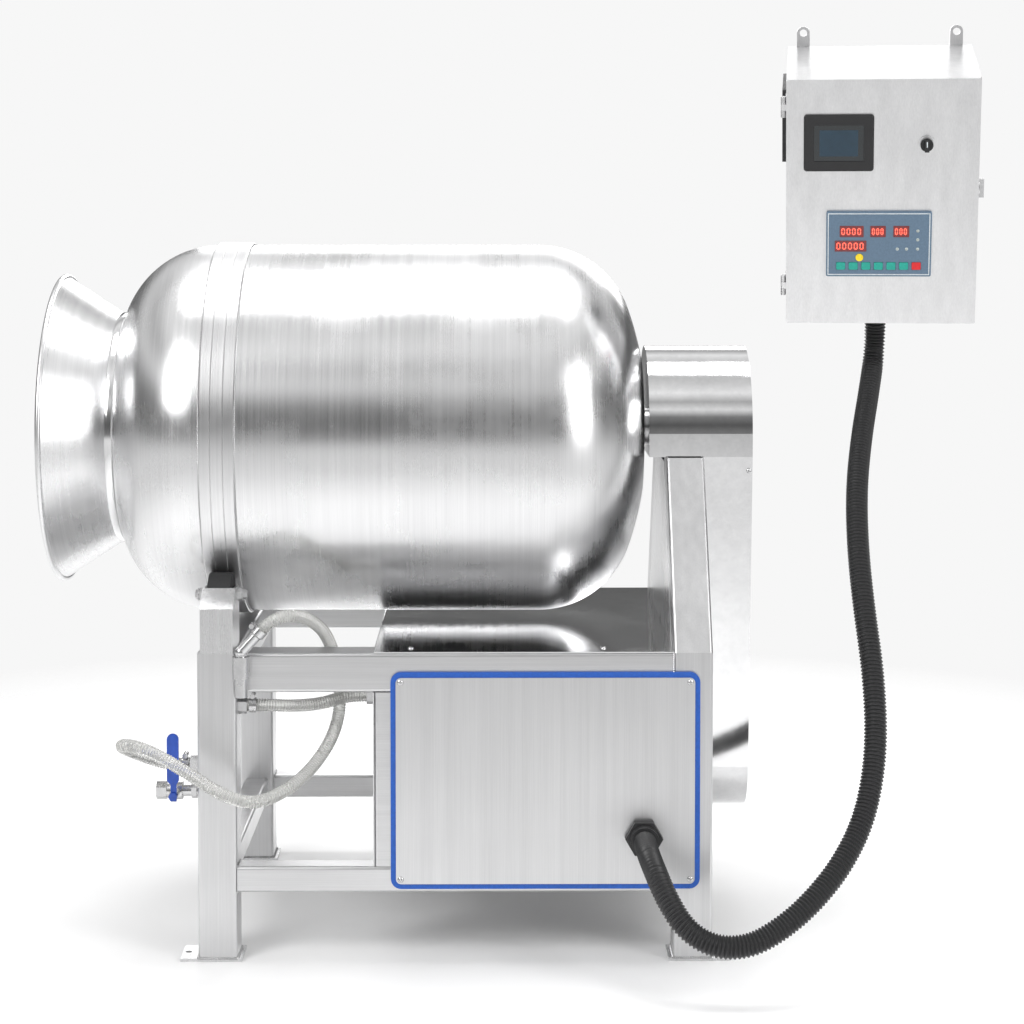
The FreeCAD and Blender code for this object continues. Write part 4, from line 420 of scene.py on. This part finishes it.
def ribbed_tree():
    """Circle swept along a line and swelled in waves."""
    tree, given, out, keys = geometry("ribbed_tube", (
        ("Radius", "Float"), ("Rib Depth", "Float"), ("Pitch", "Float"), ("Sides", "Int"),
        ("Finish", "Material")))
    fine = add(tree, "GeometryNodeResampleCurve", mode="LENGTH")
    link(tree, given.outputs["Geometry"], fine.inputs["Curve"])
    link(tree, maths(tree, "MULTIPLY", given.outputs["Pitch"], 1 / STEPS_PER_RIB),
         fine.inputs["Length"])
    run = add(tree, "GeometryNodeSplineParameter").outputs["Length"]
    wave = maths(tree, "SINE", maths(tree, "MULTIPLY",
                                     maths(tree, "DIVIDE", run, given.outputs["Pitch"]), math.tau))
    dip = maths(tree, "MULTIPLY_ADD", wave, 0.5, -0.5)
    width = maths(tree, "MULTIPLY_ADD", dip, given.outputs["Rib Depth"], given.outputs["Radius"])
    circle = add(tree, "GeometryNodeCurvePrimitiveCircle")
    circle.inputs["Radius"].default_value = 1
    link(tree, given.outputs["Sides"], circle.inputs["Resolution"])
    tube = add(tree, "GeometryNodeCurveToMesh")
    link(tree, fine.outputs[0], tube.inputs["Curve"])
    link(tree, circle.outputs[0], tube.inputs["Profile Curve"])
    link(tree, width, tube.inputs["Scale"])
    tube.inputs["Fill Caps"].default_value = True
    finished(tree, tube.outputs[0], given, out)
    return tree, keys


RIBBED, RIBBED_KEYS = ribbed_tree()


# %% From a node tree to a plain mesh
def plain_mesh(holder):
    """The holder's evaluated result as a mesh; the holder is removed."""
    bpy.context.view_layer.update()
    graph = bpy.context.evaluated_depsgraph_get()
    mesh = bpy.data.meshes.new_from_object(holder.evaluated_get(graph), depsgraph=graph)
    bpy.data.objects.remove(holder)
    return mesh


SHARP_EDGE = math.radians(35)


def piece(name, mesh, body, finish=None, smooth=True):
    """A finished mesh that rides on a body."""
    mesh.name = name
    made = bpy.data.objects.new(name, mesh)
    scene.collection.objects.link(made)
    if finish:
        mesh.materials.clear()
        mesh.materials.append(FINISH[finish])
    if smooth:
        mesh.polygons.foreach_set("use_smooth", [True] * len(mesh.polygons))
        mesh.set_sharp_from_angle(angle=SHARP_EDGE)
    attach(made, body)
    return made


def from_tree(name, holder_data, tree, keys, values, body, smooth=True):
    """Run a geometry tree on a holder and keep the result as a plain piece."""
    holder = bpy.data.objects.new(name + "_holder", holder_data)
    scene.collection.objects.link(holder)
    step = holder.modifiers.new("tree", "NODES")
    step.node_group = tree
    for label, number in values.items():
        step[keys[label]] = number
    mesh = plain_mesh(holder)
    return piece(name, mesh, body, smooth=smooth)


def route(name, points):
    """Smooth line that the given control points steer."""
    line = bpy.data.curves.new(name, "CURVE")
    line.dimensions = "3D"
    line.resolution_u = 12
    spline = line.splines.new("NURBS")
    spline.points.add(len(points) - 1)
    for target, spot in zip(spline.points, points):
        target.co = (*spot, 1)
    spline.order_u = 3
    spline.use_endpoint_u = True
    return line


def read_line(line):
    """Points along a smooth line, as its evaluated form gives them."""
    holder = bpy.data.objects.new("reader", line)
    scene.collection.objects.link(holder)
    mesh = plain_mesh(holder)
    return [vertex.co.copy() for vertex in mesh.vertices]


def ribbed(name, points, radius, depth, pitch, sides, finish):
    """Ribbed cord along a smooth route; gives the piece and its path."""
    path = read_line(route(name + "_line", points))
    made = from_tree(name, route(name + "_route", points), RIBBED, RIBBED_KEYS,
                     {"Radius": radius, "Rib Depth": depth, "Pitch": pitch, "Sides": sides,
                      "Finish": FINISH[finish]}, "frame")
    length = sum((b - a).length for a, b in zip(path, path[1:]))
    print("%s: %.3f m, %d faces" % (name, length, len(made.data.polygons)))
    return made, path


# %% The control box's own frame
BOX_PLACE, BOX_TURN, BOX_LEAN = (0.697, 0.025, 1.424), -8, 16.5
BOX = (Matrix.Translation(BOX_PLACE) @ Matrix.Rotation(math.radians(BOX_TURN), 4, "Z")
       @ Matrix.Rotation(math.radians(BOX_LEAN), 4, "X"))


def in_box(x, y, z):
    """A place given in millimetres in the control box's frame, in metres in the part's."""
    return BOX @ (Vector((x, y, z)) / 1000)


# %% Conduit to the control box
CONDUIT_RIBS = {"radius": 0.0175, "depth": 0.0030, "pitch": 0.0058, "sides": 24,
                "finish": "conduit"}
HOSE_RIBS = {"radius": 0.010, "depth": 0.0012, "pitch": 0.0042, "sides": 16, "finish": "hose"}


def mm(*spots):
    """Places given in millimetres, in metres."""
    return [Vector(spot) / 1000 for spot in spots]


CONDUIT = mm((287.5, -347, 194), (287.5, -393, 194), (296, -438, 177), (311, -472, 145),
             (336, -498, 108), (377, -511, 86), (425, -511, 86), (470, -501, 106), (520, -481, 140),
             (572, -448, 190), (612, -410, 254), (634, -366, 342), (637, -316, 442),
             (630, -262, 538), (629, -208, 620), (636, -145, 704), (655, -74, 782), (679, -1, 852))
CONDUIT += [in_box(-4, -125, -492), in_box(-4, -125, -432)]
conduit, path = ribbed("corrugated_conduit", CONDUIT, **CONDUIT_RIBS)
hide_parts("conduit")

# %% Clear hoses
ELBOW_ANGLE, ELBOW_REACH = math.radians(48), 0.034
ELBOW = Vector((math.cos(ELBOW_ANGLE), 0, math.sin(ELBOW_ANGLE)))
ELBOW_END = Vector((-0.3245, -0.3213, 0.480)) + ELBOW_REACH * ELBOW
VACUUM = [ELBOW_END, ELBOW_END + ELBOW_REACH * ELBOW]
VACUUM += mm((-240, -302, 534), (-207, -258, 508), (-191, -222, 462), (-184, -203, 415),
             (-182, -208, 368), (-192, -240, 330), (-217, -290, 297), (-252, -342, 273),
             (-300, -384, 262), (-345, -399, 280), (-390, -402, 311), (-434, -403, 339),
             (-470, -398, 353), (-499, -373, 350), (-502, -318, 332), (-474, -283, 310),
             (-441.5, -278, 298), (-407.5, -278, 298))
hose, path = ribbed("vacuum_hose_clear", VACUUM, **HOSE_RIBS)
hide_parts("vacuum_hose")

PUMP_LINE = mm((-319.5, -278, 390), (-289.5, -278, 390), (-250, -268, 386), (-208, -247, 385),
               (-169.5, -222, 393), (-139.5, -222, 393))
hose, path = ribbed("pump_hose_clear", PUMP_LINE, **HOSE_RIBS)
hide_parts("pump_hose")

# %% [markdown]
# ## The drum
# The drum is one rolled shell between two pressed heads. It is a turned form, and a lathe
# in code gives it far smoother sides than the solids' facets, which matters on brushed
# steel because every facet would show in the reflections.


# %% Lathe
TURNS = 192


def arc(centre, radius, first, last, steps):
    """Points (x, r) on an arc, from one angle to another in degrees."""
    return [(centre[0] + radius * math.cos(math.radians(first + (last - first) * i / steps)),
             centre[1] + radius * math.sin(math.radians(first + (last - first) * i / steps)))
            for i in range(steps + 1)]


def lathed(name, profile, finish="drum"):
    """Turn a closed profile of (x, r) points, in millimetres, about the drum's axis."""
    made = bmesh.new()
    rings = []
    for x, r in profile:
        ring = []
        for turn in range(TURNS):
            angle = math.tau * turn / TURNS
            ring.append(made.verts.new((x / 1000, r / 1000 * math.cos(angle),
                                        AXIS_HEIGHT + r / 1000 * math.sin(angle))))
        rings.append(ring)
    for one, two in zip(rings, rings[1:] + rings[:1]):
        for turn in range(TURNS):
            following = (turn + 1) % TURNS
            made.faces.new((one[turn], one[following], two[following], two[turn]))
    bmesh.ops.recalc_face_normals(made, faces=made.faces)
    mesh = bpy.data.meshes.new(name)
    made.to_mesh(mesh)
    made.free()
    return piece(name, mesh, "drum", finish)


# %% Drum's shell and heads
SHELL_FRONT, SHELL_REAR, DRUM, WALL = -392, 133, 300, 3
KNUCKLE, CROWN, NECK, HUB = 155, 600, 188, 120
FRONT_STEPS, REAR_STEPS, CROWN_STEPS = 24, 22, 8


def knuckle_head(front):
    """Profile of a head's outside, from the shell to the neck or the hub."""
    if front:
        stop = math.degrees(math.asin((NECK - (DRUM - KNUCKLE)) / KNUCKLE))
        return arc((SHELL_FRONT, DRUM - KNUCKLE), KNUCKLE, 90, 180 - stop,
                   FRONT_STEPS)
    reach = CROWN - KNUCKLE
    depth = math.sqrt(reach ** 2 - (DRUM - KNUCKLE) ** 2)
    meet = math.degrees(math.atan2(DRUM - KNUCKLE, depth))
    hub = math.degrees(math.asin(HUB / CROWN))
    return (arc((SHELL_REAR, DRUM - KNUCKLE), KNUCKLE, 90, meet, REAR_STEPS)
            + arc((SHELL_REAR - depth, 0), CROWN, meet, hub, CROWN_STEPS)[1:])


def walled(outside):
    """The outside profile with a parallel inside, as one closed loop."""
    inside = []
    for index, spot in enumerate(outside):
        before = outside[max(index - 1, 0)]
        after = outside[min(index + 1, len(outside) - 1)]
        run = Vector((after[0] - before[0], after[1] - before[1])).normalized()
        side = Vector((run.y, -run.x))
        if side.y > 0:
            side = -side
        inside.append((spot[0] + side.x * WALL, spot[1] + side.y * WALL))
    return outside + list(reversed(inside))


front = lathed("drum_front_head", walled(knuckle_head(True)))
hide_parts("front_head")
rear = lathed("drum_rear_head", walled(knuckle_head(False)))
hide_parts("rear_head")
shell = lathed("drum_tube", [(SHELL_FRONT, DRUM - WALL), (SHELL_FRONT, DRUM), (SHELL_REAR, DRUM),
                             (SHELL_REAR, DRUM - WALL)])
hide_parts("drum_shell")


# %% Riding ring, neck and mouth
RING_START, RING_WIDTH, RING_HEIGHT = -390.5, 54, 4
RING_GROOVE, RING_EASE = 1.0, 1.2
GROOVE_PLACES = (0.32, 0.68)
COLLAR, FUNNEL, RIM, BEAD = 12, 92, 248, 4.5
MOUTH_X = -540.9 - COLLAR
RIM_X = MOUTH_X - FUNNEL
SEAT_X, SEAT_THICK, SEAT_HOLE = -541.9, 4, 166


def ring_profile():
    """The riding ring's section: eased edges and two turned grooves."""
    start, end, top = RING_START, RING_START + RING_WIDTH, DRUM + RING_HEIGHT
    marks = [(start, DRUM), (start, top - RING_EASE), (start + RING_EASE, top)]
    for share in GROOVE_PLACES:
        middle = start + RING_WIDTH * share
        marks += [(middle - RING_GROOVE, top), (middle, top - RING_GROOVE),
                  (middle + RING_GROOVE, top)]
    return marks + [(end - RING_EASE, top), (end, top - RING_EASE), (end, DRUM)]


ring = lathed("riding_ring_band", ring_profile(), finish="ring")
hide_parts("riding_ring")

inner = NECK - WALL
funnel = lathed("mouth_funnel_sheet", [(MOUTH_X, inner), (MOUTH_X, NECK), (RIM_X, RIM),
                                       (RIM_X, RIM - WALL)])
bead = lathed("mouth_rolled_rim", arc((RIM_X, RIM), BEAD, 0, 345, 23))
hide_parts("mouth_funnel")
band_edge, band_face = NECK + 0.6, NECK + 1.2
collar = lathed("neck_bright_band", [(MOUTH_X, inner), (MOUTH_X, band_edge), (MOUTH_X + 1, band_face),
                                     (MOUTH_X + COLLAR - 1, band_face),
                                     (MOUTH_X + COLLAR, band_edge), (MOUTH_X + COLLAR, inner)],
                finish="bright")
seat = lathed("lid_seat_ring", [(SEAT_X, SEAT_HOLE), (SEAT_X, inner), (SEAT_X + SEAT_THICK, inner),
                                (SEAT_X + SEAT_THICK, SEAT_HOLE)], finish="bright")
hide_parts("neck_collar")
print("drum dressed")

# %% [markdown]
# ## Finishes for the solids
# Tubes, sheets, castings and fittings already have their true shape, so they keep it
# and only take a finish. A dictionary reads like a parts list: piece on the left, finish
# on the right.

# %% Dress the solids
DRESS = {
    "frame_posts": "posts", "lower_frame": "rails", "top_rails": "rails", "foot_plates": "sheet",
    "roller_brackets": "sheet", "leaning_struts": "posts", "bearing_support": "sheet",
    "shaft_bearing": "cast", "guard_top": "mirror", "guard_bottom": "mirror", "deck_plate": "mirror",
    "cabinet_walls": "sheet", "back_panel": "sheet", "panel_gasket": "gasket",
    "cabinet_panel": "panel", "gearmotor": "cast", "drive_belts": "rubber", "vacuum_pump": "pump",
    "conduit_glands": "gland", "hose_clamps": "fitting", "hose_collars": "fitting",
    "hose_connector": "fitting", "drain_valve": "fitting", "box_case": "box", "box_vent": "black",
    "box_hinges": "fitting", "box_electrics": "grey", "drum_baffles": "drum", "drum_shaft": "drum",
    "drum_pulley": "cast", "near_roller": "rubber", "far_roller": "rubber", "motor_pulley": "cast",
    "lid_plate": "bright", "lid_gasket": "white_rubber", "valve_lever": "lever", "box_door": "box",
    "box_seal": "rubber", "display_unit": "black", "keypad": "keypad", "speed_knob": "black",
    "box_latch": "fitting", "round_key": "yellow", "key_7": "red",
}
DRESS.update({"key_%d" % number: "teal" for number in range(1, 7)})
for name, finish in DRESS.items():
    for place in nodes[name].material_slots:
        place.material = FINISH[finish]
print("solids with a finish:", len(DRESS))

# %% [markdown]
# ## Fasteners
# A screw is small, but a row of them tells the eye the machine's scale. They repeat, so
# a node tree makes one head and sets it at each point: a dome with a crossed recess for
# the sheets, and a hexagon on a washer for the bolts.


# %% Node trees for fasteners
def set_at_points(tree, given, head, out):
    """Instance a head at every point, turned to face the given way."""
    turn = add(tree, "FunctionNodeAlignRotationToVector", axis="Z")
    link(tree, given.outputs["Facing"], turn.inputs["Vector"])
    heads = add(tree, "GeometryNodeInstanceOnPoints")
    link(tree, given.outputs["Geometry"], heads.inputs["Points"])
    link(tree, head, heads.inputs["Instance"])
    link(tree, turn.outputs[0], heads.inputs["Rotation"])
    finished(tree, heads.outputs[0], given, out)


def vector(tree, x, y, z):
    """A vector from three sockets or numbers."""
    made = add(tree, "ShaderNodeCombineXYZ")
    for socket, item in zip(made.inputs, (x, y, z)):
        if isinstance(item, (int, float)):
            socket.default_value = item
        else:
            link(tree, item, socket)
    return made.outputs[0]


def dome_tree():
    """Dome head with a crossed recess cut in it."""
    tree, given, out, keys = geometry("dome_screws", (
        ("Radius", "Float"), ("Height", "Float"), ("Slot", "Float"), ("Facing", "Vector"),
        ("Finish", "Material")))
    ball = add(tree, "GeometryNodeMeshUVSphere", segments=28, rings=14)
    radius, height = given.outputs["Radius"], given.outputs["Height"]
    shaped = add(tree, "GeometryNodeTransform")
    link(tree, ball.outputs[0], shaped.inputs["Geometry"])
    link(tree, vector(tree, radius, radius, height), shaped.inputs["Scale"])
    arms = add(tree, "GeometryNodeJoinGeometry")
    for long, short in (("Radius", "Slot"), ("Slot", "Radius")):
        arm = add(tree, "GeometryNodeMeshCube")
        link(tree, vector(tree, given.outputs[long], given.outputs[short], height),
             arm.inputs["Size"])
        lifted = add(tree, "GeometryNodeTransform")
        link(tree, arm.outputs[0], lifted.inputs["Geometry"])
        link(tree, vector(tree, 0, 0, height), lifted.inputs["Translation"])
        link(tree, lifted.outputs[0], arms.inputs[0])
    carve = add(tree, "GeometryNodeMeshBoolean", operation="DIFFERENCE", solver="EXACT")
    link(tree, shaped.outputs[0], carve.inputs["Mesh 1"])
    link(tree, arms.outputs[0], carve.inputs["Mesh 2"])
    carve.inputs["Self Intersection"].default_value = True
    set_at_points(tree, given, carve.outputs[0], out)
    return tree, keys


def bolt_tree():
    """Hexagon head on a round washer."""
    tree, given, out, keys = geometry("hexagon_bolts", (
        ("Radius", "Float"), ("Height", "Float"), ("Facing", "Vector"), ("Finish", "Material")))
    stack = add(tree, "GeometryNodeJoinGeometry")
    radius, height = given.outputs["Radius"], given.outputs["Height"]
    head, crown, washer = (6, 1.0, 1.0, 0.7), (6, 0.86, 0.16, 1.28), (28, 1.35, 0.25, 0.12)
    for sides, wide, tall, lift in (head, crown, washer):
        disc = add(tree, "GeometryNodeMeshCylinder", vertices=sides)
        link(tree, maths(tree, "MULTIPLY", radius, wide), disc.inputs["Radius"])
        link(tree, maths(tree, "MULTIPLY", height, tall), disc.inputs["Depth"])
        lifted = add(tree, "GeometryNodeTransform")
        link(tree, disc.outputs[0], lifted.inputs["Geometry"])
        link(tree, vector(tree, 0, 0, maths(tree, "MULTIPLY", height, lift)),
             lifted.inputs["Translation"])
        link(tree, lifted.outputs[0], stack.inputs[0])
    set_at_points(tree, given, stack.outputs[0], out)
    return tree, keys


DOMES, DOME_KEYS = dome_tree()
BOLTS, BOLT_KEYS = bolt_tree()


def dots(name, spots):
    """Mesh of loose points."""
    mesh = bpy.data.meshes.new(name)
    mesh.from_pydata([tuple(spot) for spot in spots], [], [])
    return mesh


RECESS = 0.26


def screws(name, spots, facing, radius=0.005, height=0.003, finish="fitting", body="frame"):
    """Domed heads at the given places, all facing one way."""
    values = {"Radius": radius, "Height": height, "Slot": radius * RECESS, "Facing": tuple(facing),
              "Finish": FINISH[finish]}
    return from_tree(name, dots(name, spots), DOMES, DOME_KEYS, values, body)


def bolts(name, spots, facing, radius, height):
    """Hexagon heads on washers at the given places, all facing one way."""
    values = {"Radius": radius, "Height": height, "Facing": tuple(facing),
              "Finish": FINISH["fitting"]}
    return from_tree(name, dots(name, spots), BOLTS, BOLT_KEYS, values, "frame", smooth=False)


# %% Sheet screws
INSET = 0.007
SUNK = 0.0002
DECK_SCREWS_X, DECK_SCREWS_Y = (-0.0685, 0.2275), (-0.278, 0.278)

low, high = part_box("cabinet_panel")
corners = [(x, z) for x in (low[0] + INSET, high[0] - INSET)
           for z in (low[2] + INSET, high[2] - INSET)]
panel = screws("panel_screws_front", [(x, low[1] + SUNK, z) for x, z in corners], (0, -1, 0))
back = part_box("back_panel")[1][1]
rear_screws = screws("panel_screws_back", [(x, back - SUNK, z) for x, z in corners], (0, 1, 0))
deck_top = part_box("deck_plate")[1][2]
deck = screws("deck_screws", [(x, y, deck_top - SUNK) for x in DECK_SCREWS_X
                              for y in DECK_SCREWS_Y], (0, 0, 1))
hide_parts("panel_screws")

# %% Bolts of the rollers, the bearing and the guard
AXLE_BOLT, BEARING_BOLT = 0.0075, 0.009
BEARING_FOOT, BOLT_REACH = 0.018, 0.0635
GUARD_SCREW_EDGE, GUARD_FACE_Y, GUARD_SCREW_Z = 0.006, -0.1342, 0.735

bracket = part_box("roller_brackets")
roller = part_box("near_roller")
roller_z = (roller[0][2] + roller[1][2]) / 2
roller_y = -(roller[0][1] + roller[1][1]) / 2
axle_bolts = bolts("axle_bolts", [(bracket[1][0] - SUNK, side * roller_y, roller_z)
                                  for side in (-1, 1)], (1, 0, 0), AXLE_BOLT, height=0.006)
axle_ends = bolts("axle_ends", [(bracket[0][0] + SUNK, side * roller_y, roller_z)
                                for side in (-1, 1)], (-1, 0, 0), AXLE_BOLT, height=0.004)
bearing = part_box("shaft_bearing")
foot_top = bearing[0][2] + BEARING_FOOT
bearing_x = (bearing[0][0] + bearing[1][0]) / 2
bearing_bolts = bolts("bearing_bolts", [(bearing_x, y, foot_top) for y in (-BOLT_REACH, BOLT_REACH)],
                      (0, 0, 1), BEARING_BOLT, height=0.008)
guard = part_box("guard_bottom")
guard_screws = screws("guard_screws", [(guard[1][0] - GUARD_SCREW_EDGE, GUARD_FACE_Y, GUARD_SCREW_Z)],
                      (0, -1, 0), radius=0.004, height=0.0022)
print("fasteners set")

# %% [markdown]
# ## Welds
# The frame is welded where tubes meet, and the riding ring is welded on both edges. A
# weld bead is a row of small overlapping ripples, so the tree that made the hose's ribs
# makes these too, with a small radius and a short pitch.


# %% Weld beads
def poly(name, points):
    """Line of straight runs through the given points."""
    line = bpy.data.curves.new(name, "CURVE")
    line.dimensions = "3D"
    spline = line.splines.new("POLY")
    spline.points.add(len(points) - 1)
    for target, spot in zip(spline.points, points):
        target.co = (*spot, 1)
    return line


BEAD_PITCH, BEAD_RIPPLE, BEAD_SIDES = 0.0028, 0.45, 8


def weld(name, lines, radius, body="frame"):
    """One bead along each of the given lines, joined into one piece."""
    parts = []
    for number, points in enumerate(lines):
        parts.append(from_tree("%s_%d" % (name, number), poly(name, points), RIBBED, RIBBED_KEYS,
                               {"Radius": radius, "Rib Depth": radius * BEAD_RIPPLE,
                                "Pitch": BEAD_PITCH, "Sides": BEAD_SIDES,
                                "Finish": FINISH["weld"]}, body))
    joined = bmesh.new()
    for part in parts:
        joined.from_mesh(part.data)
        bpy.data.objects.remove(part)
    mesh = bpy.data.meshes.new(name)
    joined.to_mesh(mesh)
    joined.free()
    made = piece(name, mesh, body, "weld")
    return made


def ring_line(x, radius, steps=160):
    """Points round the drum's axis, from a start back to itself."""
    angles = [math.tau * step / steps for step in range(steps + 1)]
    return [(x, radius * math.cos(angle), AXIS_HEIGHT + radius * math.sin(angle)) for angle in angles]


# %% Welds of the drum and the frame
RING_EDGES, RING_FOOT = (-0.3910, -0.3360), 0.3009
NECK_EDGE, NECK_FOOT = -0.5412, 0.1888
POST_FAR_X, POST_NEAR_X, POST_FAR_Y, POST_NEAR_Y = 0.3935, 0.3335, 0.308, 0.248
RAIL_TOP, RAIL_UNDER = 0.475, 0.415
LOW_RAIL_TOP, LOW_RAIL_UNDER, LOW_RAIL_Y = 0.147, 0.107, 0.268
FOOT_TOP = 0.0052

weld("ring_welds", [ring_line(x, RING_FOOT) for x in RING_EDGES], radius=0.0016, body="drum")
weld("neck_weld", [ring_line(NECK_EDGE, NECK_FOOT)], radius=0.0014, body="drum")
feet, joints = [], []
for side_x in (-1, 1):
    for side_y in (-1, 1):
        x0, x1 = sorted((side_x * POST_FAR_X, side_x * POST_NEAR_X))
        y0, y1 = sorted((side_y * POST_FAR_Y, side_y * POST_NEAR_Y))
        feet.append([(x0, y0, FOOT_TOP), (x1, y0, FOOT_TOP), (x1, y1, FOOT_TOP),
                     (x0, y1, FOOT_TOP), (x0, y0, FOOT_TOP)])
        x = side_x * (POST_NEAR_X - SUNK)
        face = side_y * POST_FAR_Y
        under = RAIL_UNDER + SUNK
        joints += [[(x, face, RAIL_UNDER), (x, face, RAIL_TOP)],
                   [(x, side_y * POST_NEAR_Y, under), (x, face, under)],
                   [(x, side_y * LOW_RAIL_Y, LOW_RAIL_UNDER), (x, face, LOW_RAIL_UNDER)],
                   [(x, side_y * LOW_RAIL_Y, LOW_RAIL_TOP), (x, face, LOW_RAIL_TOP)]]
weld("foot_welds", feet, radius=0.0026)
weld("rail_welds", joints, radius=0.0016)
print("welds laid")

# %% [markdown]
# ## Control box
# The box hangs by its two lugs and leans, so its pieces are drawn in its own straight
# frame and turned into place at the end. The display and the windows are thin plates with
# rounded corners, the small lamps are low domes, and each lit digit is six bars that make a zero.


# %% Plates in the box's frame
CORNER_STEPS = 4


def plate_mesh(name, boxes, corner):
    """Thin plates (x0, x1, z0, z1, y0, y1) in millimetres in the box's frame."""
    made = bmesh.new()
    for x0, x1, z0, z1, y0, y1 in boxes:
        outline = []
        for cx, cz, first in ((x1 - corner, z1 - corner, 0), (x0 + corner, z1 - corner, 90),
                              (x0 + corner, z0 + corner, 180), (x1 - corner, z0 + corner, 270)):
            if corner == 0:
                outline.append((cx, cz))
                continue
            turns = [math.radians(first + 90 * i / CORNER_STEPS) for i in range(CORNER_STEPS + 1)]
            outline += [(cx + corner * math.cos(turn), cz + corner * math.sin(turn))
                        for turn in turns]
        front = [made.verts.new(in_box(x, y0, z)) for x, z in outline]
        back = [made.verts.new(in_box(x, y1, z)) for x, z in outline]
        made.faces.new(front)
        made.faces.new(list(reversed(back)))
        for i in range(len(front)):
            j = (i + 1) % len(front)
            made.faces.new((front[j], front[i], back[i], back[j]))
    bmesh.ops.recalc_face_normals(made, faces=made.faces)
    mesh = bpy.data.meshes.new(name)
    made.to_mesh(mesh)
    made.free()
    return mesh


def box_plate(name, boxes, finish, corner=0.0, body="box_door"):
    """Thin plates as one finished piece of the control box."""
    made = piece(name, plate_mesh(name, boxes, corner), body, finish, smooth=False)
    return made


def about(x, z, half_wide, half_tall, y0, y1):
    """One plate about a middle point."""
    return x - half_wide, x + half_wide, z - half_tall, z + half_tall, y0, y1


# the box's left edge and the keypad's face, in millimetres in the box's frame
LEFT, KEY_FACE = -150, -255

# %% Display's glass and picture
SCREEN_X, SCREEN_Z = LEFT + 82, -101

box_plate("display_glass", [about(SCREEN_X, SCREEN_Z, 38.7, 28.7, -254.6, -254.05)], "glass",
          corner=1.0)
box_plate("display_picture", [about(SCREEN_X, SCREEN_Z, 30, 21, -254.75, -254.62)], "picture",
          corner=0.8)


# %% Border and windows of the keypad
def frame_bars(x0, x1, z0, z1, wide, y0, y1):
    """Four bars that frame a rectangle."""
    return [(x0, x1, z1 - wide, z1, y0, y1), (x0, x1, z0, z0 + wide, y0, y1),
            (x0, x0 + wide, z0 + wide, z1 - wide, y0, y1), (x1 - wide, x1, z0 + wide, z1 - wide, y0, y1)]


BORDER_WIDE, PLATE_BACK = 1.4, KEY_FACE - 0.02
centre_x, centre_z = LEFT + 146, -266
box_plate("keypad_border", frame_bars(centre_x - 80, centre_x + 80, centre_z - 51, centre_z + 51,
                                      BORDER_WIDE, KEY_FACE - 0.25, PLATE_BACK),
          "pale")
# left and right from the box's edge, top and bottom below its lugs, and digits shown
WINDOWS = ((84.7, 122.3, 235.6, 254.1, 4), (132.7, 156.8, 235.6, 254.1, 3),
           (168.7, 193.5, 235.6, 254.1, 3), (77.2, 126.8, 259.9, 278.0, 5))
box_plate("display_windows", [(LEFT + x0, LEFT + x1, -low_z, -top_z, KEY_FACE - 0.6, PLATE_BACK)
                              for x0, x1, top_z, low_z, count in WINDOWS],
          "window", corner=1.0)

# %% Lit digits
DIGIT_TALL, DIGIT_BAR, DIGIT_GAP, DIGIT_SHARE = 11.0, 1.3, 0.5, 0.66
FIRST_DIGIT, WINDOW_MARGIN = 2.6, 4


def digit(x, z, wide, tall, bar, y0, y1):
    """The six lit bars of a zero."""
    half = tall / 2
    bars = [(x + bar, x + wide - bar, z + side * (half - bar / 2) - bar / 2,
             z + side * (half - bar / 2) + bar / 2, y0, y1) for side in (-1, 1)]
    for left in (x, x + wide - bar):
        bars += [(left, left + bar, z + DIGIT_GAP, z + half - bar, y0, y1),
                 (left, left + bar, z - half + bar, z - DIGIT_GAP, y0, y1)]
    return bars


lit = []
for x0, x1, top_z, low_z, count in WINDOWS:
    pitch = (x1 - x0 - WINDOW_MARGIN) / count
    for number in range(count):
        lit += digit(LEFT + x0 + FIRST_DIGIT + number * pitch, -(top_z + low_z) / 2,
                     pitch * DIGIT_SHARE, DIGIT_TALL, DIGIT_BAR, KEY_FACE - 0.8, KEY_FACE - 0.62)
box_plate("lit_digits", lit, "segment")
print("digits:", len(lit) // 6)

# %% Status lamps
LAMPS = ((207, 244), (207, 258.6), (207, 273.9), (175.4, 273.9), (189.8, 273.9))
lamps = screws("status_lamps", [in_box(LEFT + x, KEY_FACE, -drop) for x, drop in LAMPS],
               BOX.to_3x3() @ Vector((0, -1, 0)), radius=0.0026, height=0.0014, finish="led",
               body="box_door")

# %% Knob's pointer
KNOB_X, KNOB_Z = LEFT + 218, -104
box_plate("knob_pointer", [(KNOB_X - 0.8, KNOB_X + 0.8, KNOB_Z - 1, KNOB_Z + 8, -268.55, -268.2)],
          "pale", body="speed_knob")
